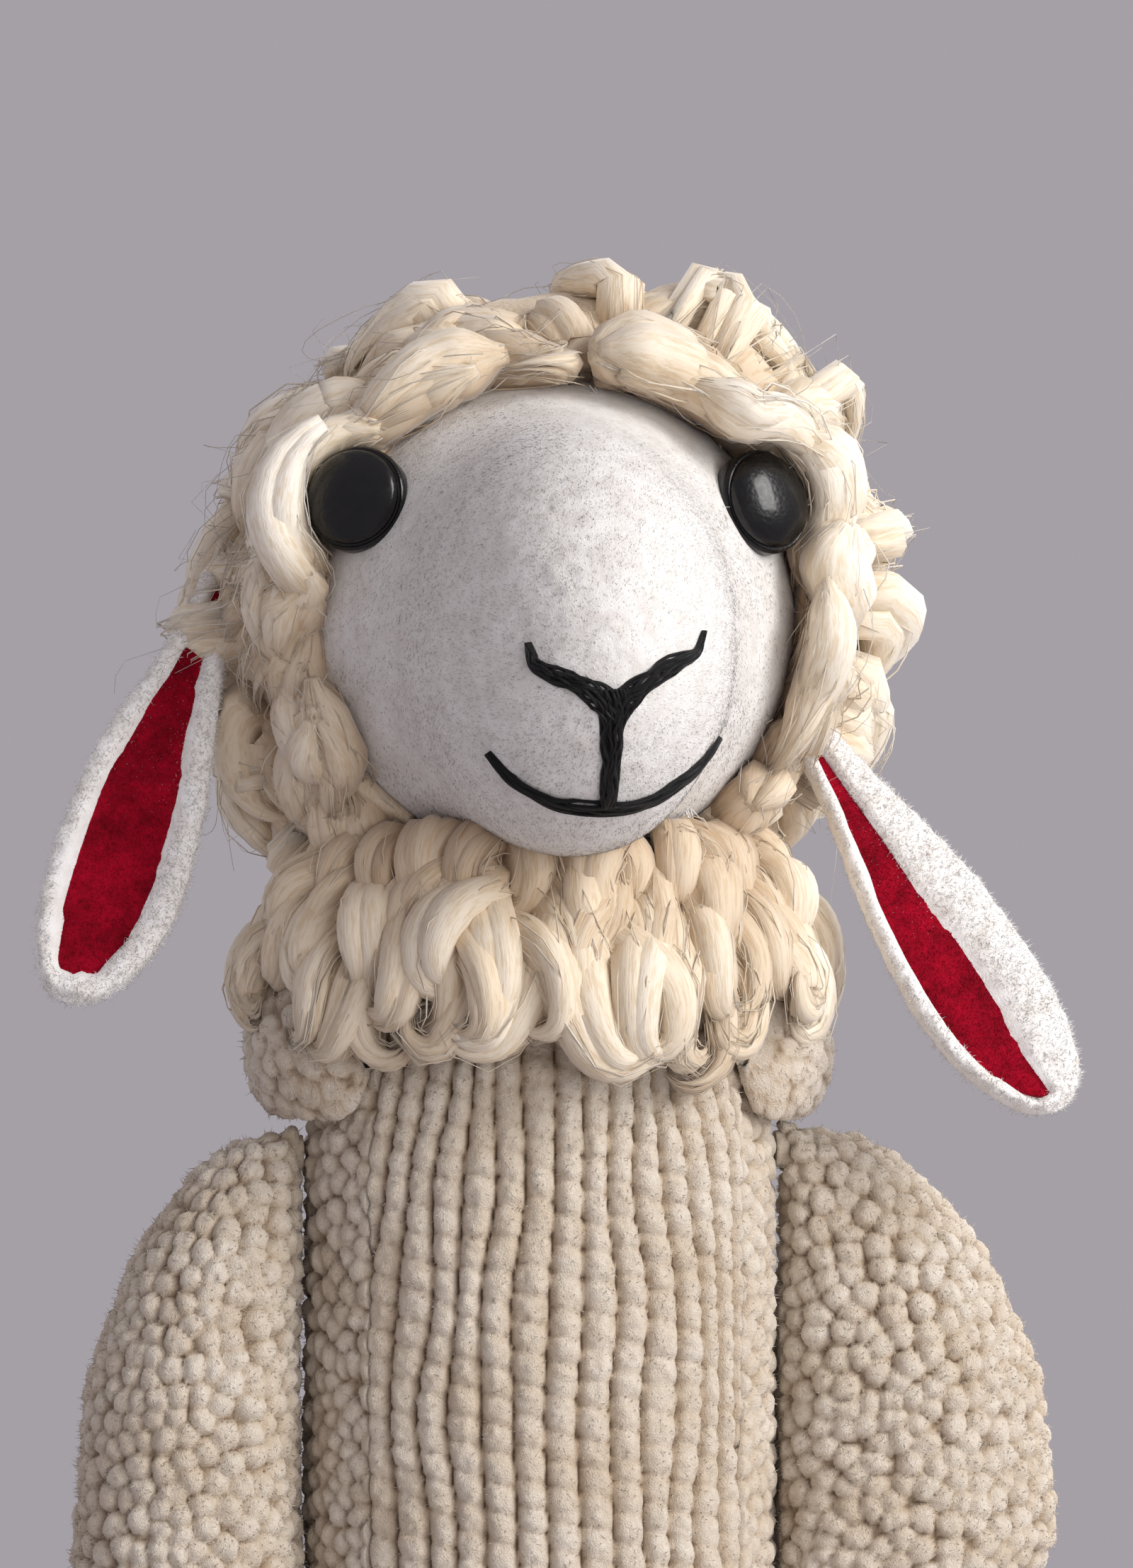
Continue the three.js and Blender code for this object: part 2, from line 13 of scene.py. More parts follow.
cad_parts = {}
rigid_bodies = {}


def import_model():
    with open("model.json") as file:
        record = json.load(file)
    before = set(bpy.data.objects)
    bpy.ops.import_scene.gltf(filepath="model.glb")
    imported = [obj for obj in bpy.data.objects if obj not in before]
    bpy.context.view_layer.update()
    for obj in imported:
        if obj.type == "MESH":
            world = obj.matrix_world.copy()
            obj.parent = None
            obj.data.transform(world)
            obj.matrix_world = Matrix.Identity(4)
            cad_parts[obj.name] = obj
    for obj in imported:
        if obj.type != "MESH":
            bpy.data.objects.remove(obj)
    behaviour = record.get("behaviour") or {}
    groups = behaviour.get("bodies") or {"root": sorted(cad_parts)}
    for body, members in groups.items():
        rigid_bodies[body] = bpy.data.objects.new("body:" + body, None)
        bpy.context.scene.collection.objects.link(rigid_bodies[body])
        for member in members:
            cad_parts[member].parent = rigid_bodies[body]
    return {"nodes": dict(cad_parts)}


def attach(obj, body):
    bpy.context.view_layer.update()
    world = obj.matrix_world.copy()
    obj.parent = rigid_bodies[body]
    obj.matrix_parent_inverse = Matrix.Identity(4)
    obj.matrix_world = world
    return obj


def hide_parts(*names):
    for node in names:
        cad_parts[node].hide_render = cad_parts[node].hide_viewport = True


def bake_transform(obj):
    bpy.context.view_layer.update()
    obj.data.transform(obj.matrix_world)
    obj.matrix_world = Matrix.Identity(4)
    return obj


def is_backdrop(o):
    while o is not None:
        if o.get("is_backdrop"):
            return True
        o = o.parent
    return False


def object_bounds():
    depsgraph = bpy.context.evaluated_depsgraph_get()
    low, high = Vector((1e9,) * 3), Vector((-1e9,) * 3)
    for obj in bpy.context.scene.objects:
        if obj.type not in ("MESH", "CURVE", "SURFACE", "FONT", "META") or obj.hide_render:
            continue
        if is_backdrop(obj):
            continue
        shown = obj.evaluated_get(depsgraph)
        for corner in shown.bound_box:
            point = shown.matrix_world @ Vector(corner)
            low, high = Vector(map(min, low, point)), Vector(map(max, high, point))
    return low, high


for leftover in list(bpy.data.objects):
    bpy.data.objects.remove(leftover)
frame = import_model()
cad_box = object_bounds()

MM = 0.001

# ---- Camera, light and floor ---------------------------------------------------------------------

VIEW_TURN = math.radians(8.5)  # the camera stands a little to the puppet's right
VIEW_POINT = Vector((0.0028, -0.020, 0.228))
VIEW_DISTANCE = 1.107
LENS = 120


def paint(red, green, blue):
    """A colour given as on a swatch card, 0 to 255, as the shaders take it."""
    card = np.array([red, green, blue]) / 255
    light = np.where(card <= 0.04045, card / 12.92, ((card + 0.055) / 1.055) ** 2.4)
    return (*light.tolist(), 1.0)


def camera():
    view = bpy.data.cameras.new("camera")
    view.lens = LENS
    view.clip_start = 0.05
    holder = bpy.data.objects.new("camera", view)
    bpy.context.scene.collection.objects.link(holder)
    away = Vector((-math.sin(VIEW_TURN), -math.cos(VIEW_TURN), 0))
    holder.location = VIEW_POINT + VIEW_DISTANCE * away
    holder.rotation_euler = (math.pi / 2, 0, -VIEW_TURN)
    bpy.context.scene.camera = holder


def soft_box(name, place, aim, size, power, tint=(1, 1, 1)):
    lamp = bpy.data.lights.new(name, "AREA")
    lamp.shape = "RECTANGLE"
    lamp.size, lamp.size_y = size
    lamp.energy = power
    lamp.color = tint
    holder = bpy.data.objects.new(name, lamp)
    bpy.context.scene.collection.objects.link(holder)
    holder.location = place
    holder.rotation_euler = (Vector(aim) - Vector(place)).to_track_quat("-Z", "Y").to_euler()
    return holder


def studio():
    world = bpy.data.worlds.new("studio")
    bpy.context.scene.world = world
    world.use_nodes = True
    backdrop = world.node_tree.nodes["Background"]
    backdrop.inputs["Color"].default_value = paint(165, 160, 166)
    chest = (0, 0, 0.23)
    soft_box("key_window", (0.93, -0.72, 0.85), chest, (0.5, 0.8), 13, (1, 0.98, 0.955))
    soft_box("far_window", (0.75, 0.75, 0.6), chest, (0.5, 0.7), 7, (1, 0.98, 0.96))
    soft_box("left_window", (-0.85, 0.6, 0.5), chest, (0.5, 0.7), 1.2)
    screen = soft_box("front_screen", (0.7, -1.4, 0.3), chest, (1.2, 0.9), 10)
    screen.visible_glossy = False
    bpy.context.scene.view_settings.view_transform = "Standard"


camera()
studio()

# ---- Finishes ------------------------------------------------------------------------------------


def effect(name, inputs, outputs):
    """An empty node group with named number, vector and colour sockets."""
    kinds = {"number": "NodeSocketFloat", "vector": "NodeSocketVector", "colour": "NodeSocketColor"}
    tree = bpy.data.node_groups.new(name, "ShaderNodeTree")
    for label, kind in inputs:
        tree.interface.new_socket(label, in_out="INPUT", socket_type=kinds[kind])
    for label, kind in outputs:
        tree.interface.new_socket(label, in_out="OUTPUT", socket_type=kinds[kind])
    return tree, tree.nodes.new("NodeGroupInput"), tree.nodes.new("NodeGroupOutput")


def noise_node(tree, detail=2.0, roughness=0.5):
    node = tree.nodes.new("ShaderNodeTexNoise")
    node.inputs["Detail"].default_value = detail
    node.inputs["Roughness"].default_value = roughness
    return node


def maths(tree, kind, first, second):
    """A Math node. Each of its two inputs is a number or another node's output."""
    node = tree.nodes.new("ShaderNodeMath")
    node.operation = kind
    for socket, value in zip(node.inputs, (first, second)):
        if isinstance(value, (int, float)):
            socket.default_value = value
        else:
            tree.links.new(value, socket)
    return node.outputs[0]


def remapped(tree, value, **limits):
    """A number carried from one range to another. The limits left out are 0 and 1."""
    node = tree.nodes.new("ShaderNodeMapRange")
    for socket, limit in limits.items():
        node.inputs[socket.replace("_", " ")].default_value = limit
    tree.links.new(value, node.inputs["Value"])
    return node.outputs[0]


def mixed(tree, share, low, high, kind="MIX"):
    """A colour mix. Share, low and high are values or other nodes' outputs."""
    node = tree.nodes.new("ShaderNodeMix")
    node.data_type = "RGBA"
    node.blend_type = kind
    sockets = [node.inputs[0], node.inputs[6], node.inputs[7]]  # factor, then the two colours
    for socket, value in zip(sockets, (share, low, high)):
        if isinstance(value, bpy.types.NodeSocket):
            tree.links.new(value, socket)
        else:
            socket.default_value = value
    return node.outputs[2]


def mottling():
    """Cloudy variation between two colours, for anything handmade."""
    inputs = [("Place", "vector"), ("Size", "number"), ("Dark", "colour"), ("Light", "colour")]
    tree, given, made = effect("Mottling", inputs, [("Colour", "colour")])
    cloud = noise_node(tree, 3, 0.6)
    tree.links.new(given.outputs["Place"], cloud.inputs["Vector"])
    tree.links.new(given.outputs["Size"], cloud.inputs["Scale"])
    share = remapped(tree, cloud.outputs[0], From_Min=0.36, From_Max=0.64)
    colour = mixed(tree, share, given.outputs["Dark"], given.outputs["Light"])
    tree.links.new(colour, made.inputs["Colour"])
    return tree


def nap():
    """Short pile: fine fibre ends over softer tufts, as a height and a shade."""
    inputs = [("Place", "vector"), ("Tufts", "number"), ("Fibres", "number")]
    tree, given, made = effect("Nap", inputs, [("Height", "number"), ("Shade", "number")])
    tufts, fibres = noise_node(tree, 2), noise_node(tree, 3, 0.7)
    for node, size in ((tufts, "Tufts"), (fibres, "Fibres")):
        tree.links.new(given.outputs["Place"], node.inputs["Vector"])
        tree.links.new(given.outputs[size], node.inputs["Scale"])
    height = maths(tree, "MULTIPLY_ADD", tufts.outputs[0], 0.6)
    tree.links.new(fibres.outputs[0], height.node.inputs[2])
    tree.links.new(height, made.inputs["Height"])
    shade = maths(tree, "MULTIPLY", maths(tree, "ADD", tufts.outputs[0], fibres.outputs[0]), 0.5)
    tree.links.new(shade, made.inputs["Shade"])
    return tree


def strands():
    """Fibres that run along a lock or thread, read from the piece's own grain."""
    inputs = [("Grain", "vector"), ("Fineness", "number")]
    tree, given, made = effect("Strands", inputs, [("Height", "number"), ("Streak", "number")])
    coarse, fine = noise_node(tree, 1), noise_node(tree, 2, 0.6)
    for node, times in ((coarse, 1.0), (fine, 2.7)):
        tree.links.new(given.outputs["Grain"], node.inputs["Vector"])
        tree.links.new(maths(tree, "MULTIPLY", given.outputs["Fineness"], times), node.inputs["Scale"])
    both = maths(tree, "ADD", coarse.outputs[0], fine.outputs[0])
    tree.links.new(both, made.inputs["Height"])
    tree.links.new(remapped(tree, both, From_Min=0.75, From_Max=1.25), made.inputs["Streak"])
    return tree


def weave():
    """Plain cotton weave: threads over and under, as a height."""
    inputs = [("Place", "vector"), ("Threads", "number")]
    tree, given, made = effect("Weave", inputs, [("Height", "number")])
    parts = []
    for axis in ("X", "Z"):
        wave = tree.nodes.new("ShaderNodeTexWave")
        wave.bands_direction = axis
        wave.inputs["Distortion"].default_value = 0.6
        wave.inputs["Detail"].default_value = 1
        tree.links.new(given.outputs["Place"], wave.inputs["Vector"])
        tree.links.new(given.outputs["Threads"], wave.inputs["Scale"])
        parts.append(wave.outputs[1])
    tree.links.new(maths(tree, "MULTIPLY", *parts), made.inputs["Height"])
    return tree


MOTTLING, NAP, STRANDS, WEAVE = mottling(), nap(), strands(), weave()


class Finish:
    """One material: a Principled shader, with plain numbers on its own sockets."""

    def __init__(self, name, **numbers):
        self.material = bpy.data.materials.new(name)
        self.material.use_nodes = True
        self.tree = self.material.node_tree
        self.shader = self.tree.nodes["Principled BSDF"]
        for socket, value in numbers.items():
            self.shader.inputs[socket.replace("_", " ")].default_value = value

    def place(self):
        return self.tree.nodes.new("ShaderNodeTexCoord").outputs["Object"]

    def own(self, name, output):
        node = self.tree.nodes.new("ShaderNodeAttribute")
        node.attribute_name = name
        return node.outputs[output]

    def effect(self, group, **values):
        node = self.tree.nodes.new("ShaderNodeGroup")
        node.node_tree = group
        for socket, value in values.items():
            if isinstance(value, bpy.types.NodeSocket):
                self.tree.links.new(value, node.inputs[socket])
            else:
                node.inputs[socket].default_value = value
        return node.outputs

    def ramp(self, value, *stops):
        node = self.tree.nodes.new("ShaderNodeValToRGB")
        steps = node.color_ramp.elements
        for k, (at, colour) in enumerate(stops):
            step = steps[k] if k < 2 else steps.new(at)
            step.position, step.color = at, colour
        self.tree.links.new(value, node.inputs[0])
        return node.outputs[0]

    def colour(self, value):
        self.tree.links.new(value, self.shader.inputs["Base Color"])

    def bump(self, height, depth, strength=1.0):
        node = self.tree.nodes.new("ShaderNodeBump")
        node.inputs["Distance"].default_value = depth * MM
        node.inputs["Strength"].default_value = strength
        self.tree.links.new(height, node.inputs["Height"])
        self.tree.links.new(node.outputs[0], self.shader.inputs["Normal"])

    def roughness(self, value, low, high):
        spread = remapped(self.tree, value, To_Min=low, To_Max=high)
        self.tree.links.new(spread, self.shader.inputs["Roughness"])


def chenille_finish():
    """Fluffy chenille yarn, pale on the bobbles, with painted shade darkening it between them."""
    made = Finish("chenille_knit", Sheen_Weight=0.25, Sheen_Roughness=0.5, Specular_IOR_Level=0.2)
    fluff = made.effect(NAP, Place=made.place(), Tufts=650, Fibres=2600)
    # painted shade: the depth attribute runs from the crevices between the bobbles (0) to their tops (1), and
    # the ramp below darkens the crevices
    depth = made.own("depth", "Fac")
    yarn = made.ramp(
        depth,
        (0.0, paint(138, 112, 86)), (0.3, paint(208, 190, 167)),
        (0.6, paint(236, 224, 207)), (1.0, paint(246, 238, 225)),
    )
    cloudy = made.effect(
        MOTTLING, Place=made.place(), Size=60, Dark=paint(236, 228, 216), Light=paint(255, 255, 255)
    )
    tinted = mixed(made.tree, 0.7, yarn, cloudy["Colour"], "MULTIPLY")
    # painted shade: darker where the nap dips
    pile_shade = made.ramp(fluff["Shade"], (0.3, paint(222, 212, 200)), (0.62, paint(255, 255, 255)))
    made.colour(mixed(made.tree, 0.7, tinted, pile_shade, "MULTIPLY"))
    made.roughness(fluff["Shade"], 0.85, 1.0)
    made.bump(fluff["Height"], 0.5)
    return made.material


def wool_finish():
    """Washed, uncombed wool: cream at the tips, with painted shade darker in the depth of the coat."""
    made = Finish("wool_fleece", Sheen_Weight=0.35, Sheen_Roughness=0.4, Specular_IOR_Level=0.2)
    fibre = made.effect(STRANDS, Grain=made.own("grain", "Vector"), Fineness=2.4)
    # painted shade: the tone attribute is each lock's chance tone plus its depth in the coat, so this ramp
    # darkens the wool the deeper it lies
    coat = made.ramp(
        made.own("tone", "Fac"),
        (0.0, paint(184, 158, 130)), (0.35, paint(226, 209, 184)),
        (0.62, paint(244, 234, 216)), (1.0, paint(252, 247, 238)),
    )
    streak = made.ramp(fibre["Streak"], (0.05, paint(234, 223, 206)), (0.6, paint(255, 255, 255)))
    made.colour(mixed(made.tree, 0.75, coat, streak, "MULTIPLY"))
    made.roughness(fibre["Streak"], 0.75, 0.55)
    made.bump(fibre["Height"], 0.12)
    return made.material


def plush_finish(name, dark, light, tufts):
    """Short white pile."""
    made = Finish(name, Sheen_Weight=0.3, Sheen_Roughness=0.5, Specular_IOR_Level=0.2)
    pile = made.effect(NAP, Place=made.place(), Tufts=tufts, Fibres=tufts * 5)
    cloudy = made.effect(MOTTLING, Place=made.place(), Size=170, Dark=dark, Light=light)
    # painted shade: the pile is darker where the nap dips
    pile_shade = made.ramp(pile["Shade"], (0.3, paint(232, 229, 226)), (0.6, paint(255, 255, 255)))
    made.colour(mixed(made.tree, 0.6, cloudy["Colour"], pile_shade, "MULTIPLY"))
    made.roughness(pile["Shade"], 0.85, 1.0)
    made.bump(pile["Height"], 0.22)
    return made.material


def velvet_finish():
    """Red velvet, brushed this way and that."""
    made = Finish(
        "red_velvet", Sheen_Weight=0.35, Sheen_Roughness=0.35, Sheen_Tint=paint(255, 90, 110),
        Specular_IOR_Level=0.15,
    )
    pile = made.effect(NAP, Place=made.place(), Tufts=420, Fibres=3000)
    brushed = made.effect(
        MOTTLING, Place=made.place(), Size=130, Dark=paint(140, 2, 28), Light=paint(184, 6, 42)
    )
    # painted shade: the velvet is darker where the nap dips
    pile_shade = made.ramp(pile["Shade"], (0.3, paint(190, 170, 172)), (0.65, paint(255, 255, 255)))
    made.colour(mixed(made.tree, 0.7, brushed["Colour"], pile_shade, "MULTIPLY"))
    made.roughness(pile["Shade"], 0.8, 1.0)
    made.bump(pile["Height"], 0.4)
    return made.material


def leather_finish():
    """Black polished leather with a fine pebble grain."""
    made = Finish("black_leather", Coat_Weight=0.3, Coat_Roughness=0.12, Specular_IOR_Level=0.3)
    grain = made.tree.nodes.new("ShaderNodeTexVoronoi")
    grain.feature = "SMOOTH_F1"
    grain.inputs["Scale"].default_value = 1300
    made.tree.links.new(made.place(), grain.inputs["Vector"])
    rubbed = made.effect(
        MOTTLING, Place=made.place(), Size=240, Dark=paint(4, 4, 5), Light=paint(11, 11, 12)
    )
    made.colour(rubbed["Colour"])
    made.roughness(grain.outputs["Distance"], 0.24, 0.42)
    made.bump(grain.outputs["Distance"], 0.12, 0.5)
    return made.material


def moulded_finish(name, dark, light, rough):
    """Moulded plastic, faintly uneven, with a satin skin."""
    made = Finish(name, Specular_IOR_Level=0.45)
    skin = made.effect(NAP, Place=made.place(), Tufts=300, Fibres=2400)
    cloudy = made.effect(MOTTLING, Place=made.place(), Size=90, Dark=dark, Light=light)
    made.colour(cloudy["Colour"])
    made.roughness(skin["Shade"], rough, rough + 0.2)
    made.bump(skin["Height"], 0.05)
    return made.material


def thread_finish():
    """Black embroidery thread, twisted."""
    made = Finish("black_thread", Specular_IOR_Level=0.5)
    twist = made.effect(STRANDS, Grain=made.own("grain", "Vector"), Fineness=1.6)
    made.colour(made.ramp(twist["Streak"], (0.2, paint(3, 3, 4)), (0.9, paint(14, 13, 15))))
    made.roughness(twist["Streak"], 0.4, 0.62)
    made.bump(twist["Height"], 0.3)
    return made.material


def cotton_finish(name, dark, light, threads):
    """Unbleached cotton cloth."""
    made = Finish(name, Specular_IOR_Level=0.2)
    cloth = made.effect(WEAVE, Place=made.place(), Threads=threads)
    cloudy = made.effect(MOTTLING, Place=made.place(), Size=50, Dark=dark, Light=light)
    gaps = made.ramp(cloth["Height"], (0.0, paint(205, 200, 192)), (0.5, paint(255, 255, 255)))
    made.colour(mixed(made.tree, 0.8, cloudy["Colour"], gaps, "MULTIPLY"))
    made.roughness(cloth["Height"], 0.95, 0.8)
    made.bump(cloth["Height"], 0.2)
    return made.material


CHENILLE = chenille_finish()
WOOL = wool_finish()
PLUSH = plush_finish("face_plush", paint(230, 226, 221), paint(243, 241, 238), 520)
SHERPA = plush_finish("ear_sherpa", paint(244, 240, 235), paint(254, 253, 251), 330)
FILLING = plush_finish("stuffing", paint(228, 226, 222), paint(246, 245, 242), 200)
VELVET = velvet_finish()
LEATHER = leather_finish()
THREAD = thread_finish()
COTTON = cotton_finish("cotton_lining", paint(214, 205, 190), paint(234, 227, 214), 260)
BUTTON = moulded_finish("black_plastic", paint(9, 9, 10), paint(17, 17, 19), 0.3)
HOOP = moulded_finish("plastic", paint(205, 204, 198), paint(222, 221, 216), 0.4)

# ---- Ways of working -----------------------------------------------------------------------------


def unit(v):
    return v / np.maximum(np.linalg.norm(v, axis=-1, keepdims=True), 1e-9)


def shared(low, high, t):
    return low + (high - low) * t


def eased(t):
    t = np.clip(t, 0, 1)
    return t * t * (3 - 2 * t)


def lumps(places, size, seed):
    """Smooth chance from -1 to 1 at each place, changing over about that size."""
    grid = np.asarray(places, float) / size
    corner = np.floor(grid).astype(np.int64)
    part = grid - corner
    part = part * part * (3 - 2 * part)
    total = np.zeros(grid.shape[:-1])
    for step in np.ndindex(2, 2, 2):
        cell = corner + np.array(step)
        mixed_up = cell[..., 0] * 73856093 ^ cell[..., 1] * 19349663 ^ cell[..., 2] * 83492791 ^ seed * 7919
        mixed_up = (mixed_up ^ (mixed_up >> 13)) * 1274126177
        value = ((mixed_up ^ (mixed_up >> 16)) & 0xFFFF) / 32767.5 - 1
        weight = np.where(np.array(step) == 1, part, 1 - part).prod(-1)
        total += weight * value
    return total


def net(rows, columns, round_rows=False, round_columns=False, start=0):
    """Four-sided faces between the places of a grid."""
    i = np.arange(rows if round_rows else rows - 1)
    j = np.arange(columns if round_columns else columns - 1)
    i, j = np.meshgrid(i, j, indexing="ij")
    below, after = (i + 1) % rows, (j + 1) % columns
    corners = [i * columns + j, i * columns + after, below * columns + after, below * columns + j]
    return np.stack(corners, -1).reshape(-1, 4) + start


def fan(middle, ring):
    """Three-sided faces from one place to a closed ring."""
    ring = np.asarray(ring)
    return np.stack([np.full(len(ring), middle), ring, np.roll(ring, -1)], -1)


def capped(rows, columns):
    """Faces of a closed tube of rings, with a flat cap at either end."""
    ring = np.arange(columns)
    return [net(rows, columns, round_columns=True), ring[None], (ring + (rows - 1) * columns)[None][:, ::-1]]


def poled(grid):
    """Places and faces of a closed form whose first and last rings are drawn in to one place each."""
    rows, columns = grid.shape[:2]
    first, last = (grid[k].mean(0, keepdims=True) for k in (0, -1))
    places = np.concatenate([first, grid[1:-1].reshape(-1, 3), last])
    ring = np.arange(columns)
    return places, [
        net(rows - 2, columns, round_columns=True, start=1),
        fan(0, ring[::-1] + 1),
        fan(len(places) - 1, ring + 1 + (rows - 3) * columns),
    ]


def smoothed(values, times):
    """A run of values with its corners rounded and its two ends kept."""
    values = values.copy()
    for _ in range(times):
        values[1:-1] = (values[:-2] + 2 * values[1:-1] + values[2:]) / 4
    return values


def evenly(steps, count, *curves):
    """The values of curves at evenly spaced lengths, given the lengths from place to place."""
    run = np.concatenate([[0], steps.cumsum()])
    at = np.linspace(0, run[-1], count)
    return [np.interp(at, run, curve) for curve in curves]


def volume(places, faces):
    total = 0.0
    for part in faces:
        for k in range(1, part.shape[1] - 1):
            a, b, c = (places[part[:, m]] for m in (0, k, k + 1))
            total += np.einsum("ij,ij->", a, np.cross(b, c)) / 6
    return total


def shaped(name, places, faces, **own):
    """A closed mesh object from places in millimetres. Other values become its own attributes."""
    if volume(places, faces) < 0:
        faces = [part[:, ::-1] for part in faces]
    mesh = bpy.data.meshes.new(name)
    mesh.vertices.add(len(places))
    mesh.vertices.foreach_set("co", (places * MM).astype(np.float32).ravel())
    corners = np.concatenate([part.ravel() for part in faces]).astype(np.int32)
    sizes = np.concatenate([np.full(len(part), part.shape[1]) for part in faces])
    mesh.loops.add(len(corners))
    mesh.loops.foreach_set("vertex_index", corners)
    mesh.polygons.add(len(sizes))
    mesh.polygons.foreach_set("loop_start", (np.cumsum(sizes) - sizes).astype(np.int32))
    mesh.polygons.foreach_set("use_smooth", np.ones(len(sizes), bool))
    mesh.update(calc_edges=True)
    for label, values in own.items():
        values = np.asarray(values, np.float32)
        kind, field = ("FLOAT", "value") if values.ndim == 1 else ("FLOAT_VECTOR", "vector")
        mesh.attributes.new(label, kind, "POINT").data.foreach_set(field, values.ravel())
    made = bpy.data.objects.new(name, mesh)
    bpy.context.scene.collection.objects.link(made)
    return made


def fitted(made, body, finish, replaces=()):
    """Gives a finished piece its material, hangs it on the body it moves with, and hides the frame's parts that
    it replaces.
    """
    made.data.materials.clear()
    made.data.materials.append(finish)
    if body:
        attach(made, body)
    if replaces:
        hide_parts(*replaces)
    return made


def choose(made):
    """Makes one object the only one selected, and the active one."""
    bpy.ops.object.select_all(action="DESELECT")
    made.select_set(True)
    bpy.context.view_layer.objects.active = made


def cut_away(made, cutter):
    """Takes one closed shape out of another, and puts the cutter away."""
    choose(made)
    cut = made.modifiers.new("cut", "BOOLEAN")
    cut.operation = "DIFFERENCE"
    cut.solver = "EXACT"
    cut.object = cutter
    bpy.ops.object.modifier_apply(modifier="cut")
    bpy.data.objects.remove(cutter)
    return made


def bored(made, radius, depth, middle, sides, share=1):
    """Cuts an upright hole through a piece, round or, with a share below 1, oval."""
    bpy.ops.object.select_all(action="DESELECT")
    bpy.ops.mesh.primitive_cylinder_add(
        vertices=sides, radius=radius * MM, depth=depth * MM, location=(0, 0, middle * MM)
    )
    hole = bpy.context.object
    hole.scale = (1, share, 1)
    return cut_away(made, hole)


def turned_outwards(made):
    """Makes every face of a closed piece look outwards."""
    choose(made)
    bpy.ops.object.mode_set(mode="EDIT")
    bpy.ops.mesh.select_all(action="SELECT")
    bpy.ops.mesh.normals_make_consistent(inside=False)
    bpy.ops.object.mode_set(mode="OBJECT")
    return made


def surface_normals(grid, round_columns=True):
    """Outward directions of a grid of places, rows up and columns round."""
    up = np.gradient(grid, axis=0)
    if round_columns:
        around = np.roll(grid, -1, axis=1) - np.roll(grid, 1, axis=1)
    else:
        around = np.gradient(grid, axis=1)
    return unit(np.cross(around, up))


def bobbles(places, spacing, seed):
    """Packed round bobbles of fluffy yarn: height from 0 to 1 at each place."""
    rng = np.random.default_rng(seed)
    order = rng.permutation(len(places))[: len(places) // 2]
    cell = spacing * 0.82  # no two bobbles' middles are nearer than this
    taken, kept = {}, []
    for k in order:
        p = places[k]
        home = tuple((p // cell).astype(int))
        near = (
            taken.get((home[0] + a, home[1] + b, home[2] + c))
            for a in (-1, 0, 1) for b in (-1, 0, 1) for c in (-1, 0, 1)
        )
        if all(q is None or ((q - p) ** 2).sum() > cell * cell for q in near):
            taken[home] = p
            kept.append(p)
    tree = kdtree.KDTree(len(kept))
    for k, p in enumerate(kept):
        tree.insert(p, k)
    tree.balance()
    high = rng.uniform(0.75, 1.0, len(kept))
    wobble = np.stack([lumps(places, spacing * 0.8, seed + k) for k in (1, 2, 3)], -1)
    found = [tree.find_n(p, 2) for p in places + wobble * spacing * 0.12]
    near = np.array([[f[0][2], f[1][2]] for f in found])
    which = np.array([f[0][1] for f in found])
    pillow = np.clip((near[:, 1] - near[:, 0]) / (spacing * 0.7), 0, 1)
    pillow = np.sqrt(1 - (1 - pillow) ** 2)
    dome = np.sqrt(np.clip(1 - (near[:, 0] / (spacing * 0.68)) ** 2, 0, 1))
    return (0.4 * pillow + 0.6 * dome) * high[which]


def carried(lines, first):
    """Directions along each line and across it, carried from end to end without twisting."""
    along = unit(np.gradient(lines, axis=1))
    across = np.empty_like(lines)
    across[:, 0] = unit(np.cross(along[:, 0], first))
    for k in range(1, lines.shape[1]):
        last = across[:, k - 1]
        across[:, k] = unit(last - (last * along[:, k]).sum(-1, keepdims=True) * along[:, k])
    return along, across, np.cross(along, across)


def tubes(lines, thick, sides, first, grain=0.0):
    """Closed round tubes on many lines at once: places, faces and the grain of each place."""
    count, steps, _ = lines.shape
    _, across, over = carried(lines, first)
    turn = np.linspace(0, 2 * np.pi, sides, endpoint=False)
    ring = across[:, :, None] * np.cos(turn)[:, None] + over[:, :, None] * np.sin(turn)[:, None]
    places = lines[:, :, None] + ring * thick[:, :, None, None]
    one = net(steps, sides, round_columns=True)
    shift = (np.arange(count) * steps * sides)[:, None, None]
    sheath = (one[None] + shift).reshape(-1, 4)
    ends = np.arange(sides)
    start_caps = ends[::-1][None] + shift[:, 0]
    end_caps = ends[None] + (steps - 1) * sides + shift[:, 0]
    run = np.linalg.norm(np.diff(lines, axis=1), axis=-1).cumsum(1)
    run = np.concatenate([np.zeros((count, 1)), run], 1)
    chance = np.random.default_rng(count).uniform(0, 90, count)
    length = (run * grain + chance[:, None])[:, :, None]
    lay = np.stack(np.broadcast_arrays(np.cos(turn) * 1.6, np.sin(turn) * 1.6, length), -1)
    return places.reshape(-1, 3), [sheath, start_caps, end_caps], lay.reshape(-1, 3)


def fibres(roots, aims, length, width):
    """Tiny closed three-sided fibres, one at each root."""
    rng = np.random.default_rng(len(roots))
    side = unit(np.cross(aims, unit(rng.normal(size=roots.shape))))
    over = np.cross(aims, side)
    base = [roots + width * (math.cos(a) * side + math.sin(a) * over) for a in (0, 2.09, 4.19)]
    tips = roots + aims * length[:, None]
    places = np.stack([*base, tips], 1).reshape(-1, 3)
    one = np.array([[0, 2, 1], [0, 1, 3], [1, 2, 3], [2, 0, 3]])
    faces = (one[None] + 4 * np.arange(len(roots))[:, None, None]).reshape(-1, 3)
    return places, [faces]


def joined(parts):
    """Several (places, faces, own values) as one."""
    places, faces, own, start = [], {}, {}, 0
    for place, face, values in parts:
        places.append(place)
        for part in face:
            faces.setdefault(part.shape[1], []).append(part + start)
        for label, value in values.items():
            own.setdefault(label, []).append(value)
        start += len(place)
    own = {label: np.concatenate(value) for label, value in own.items()}
    return np.concatenate(places), [np.concatenate(f) for f in faces.values()], own


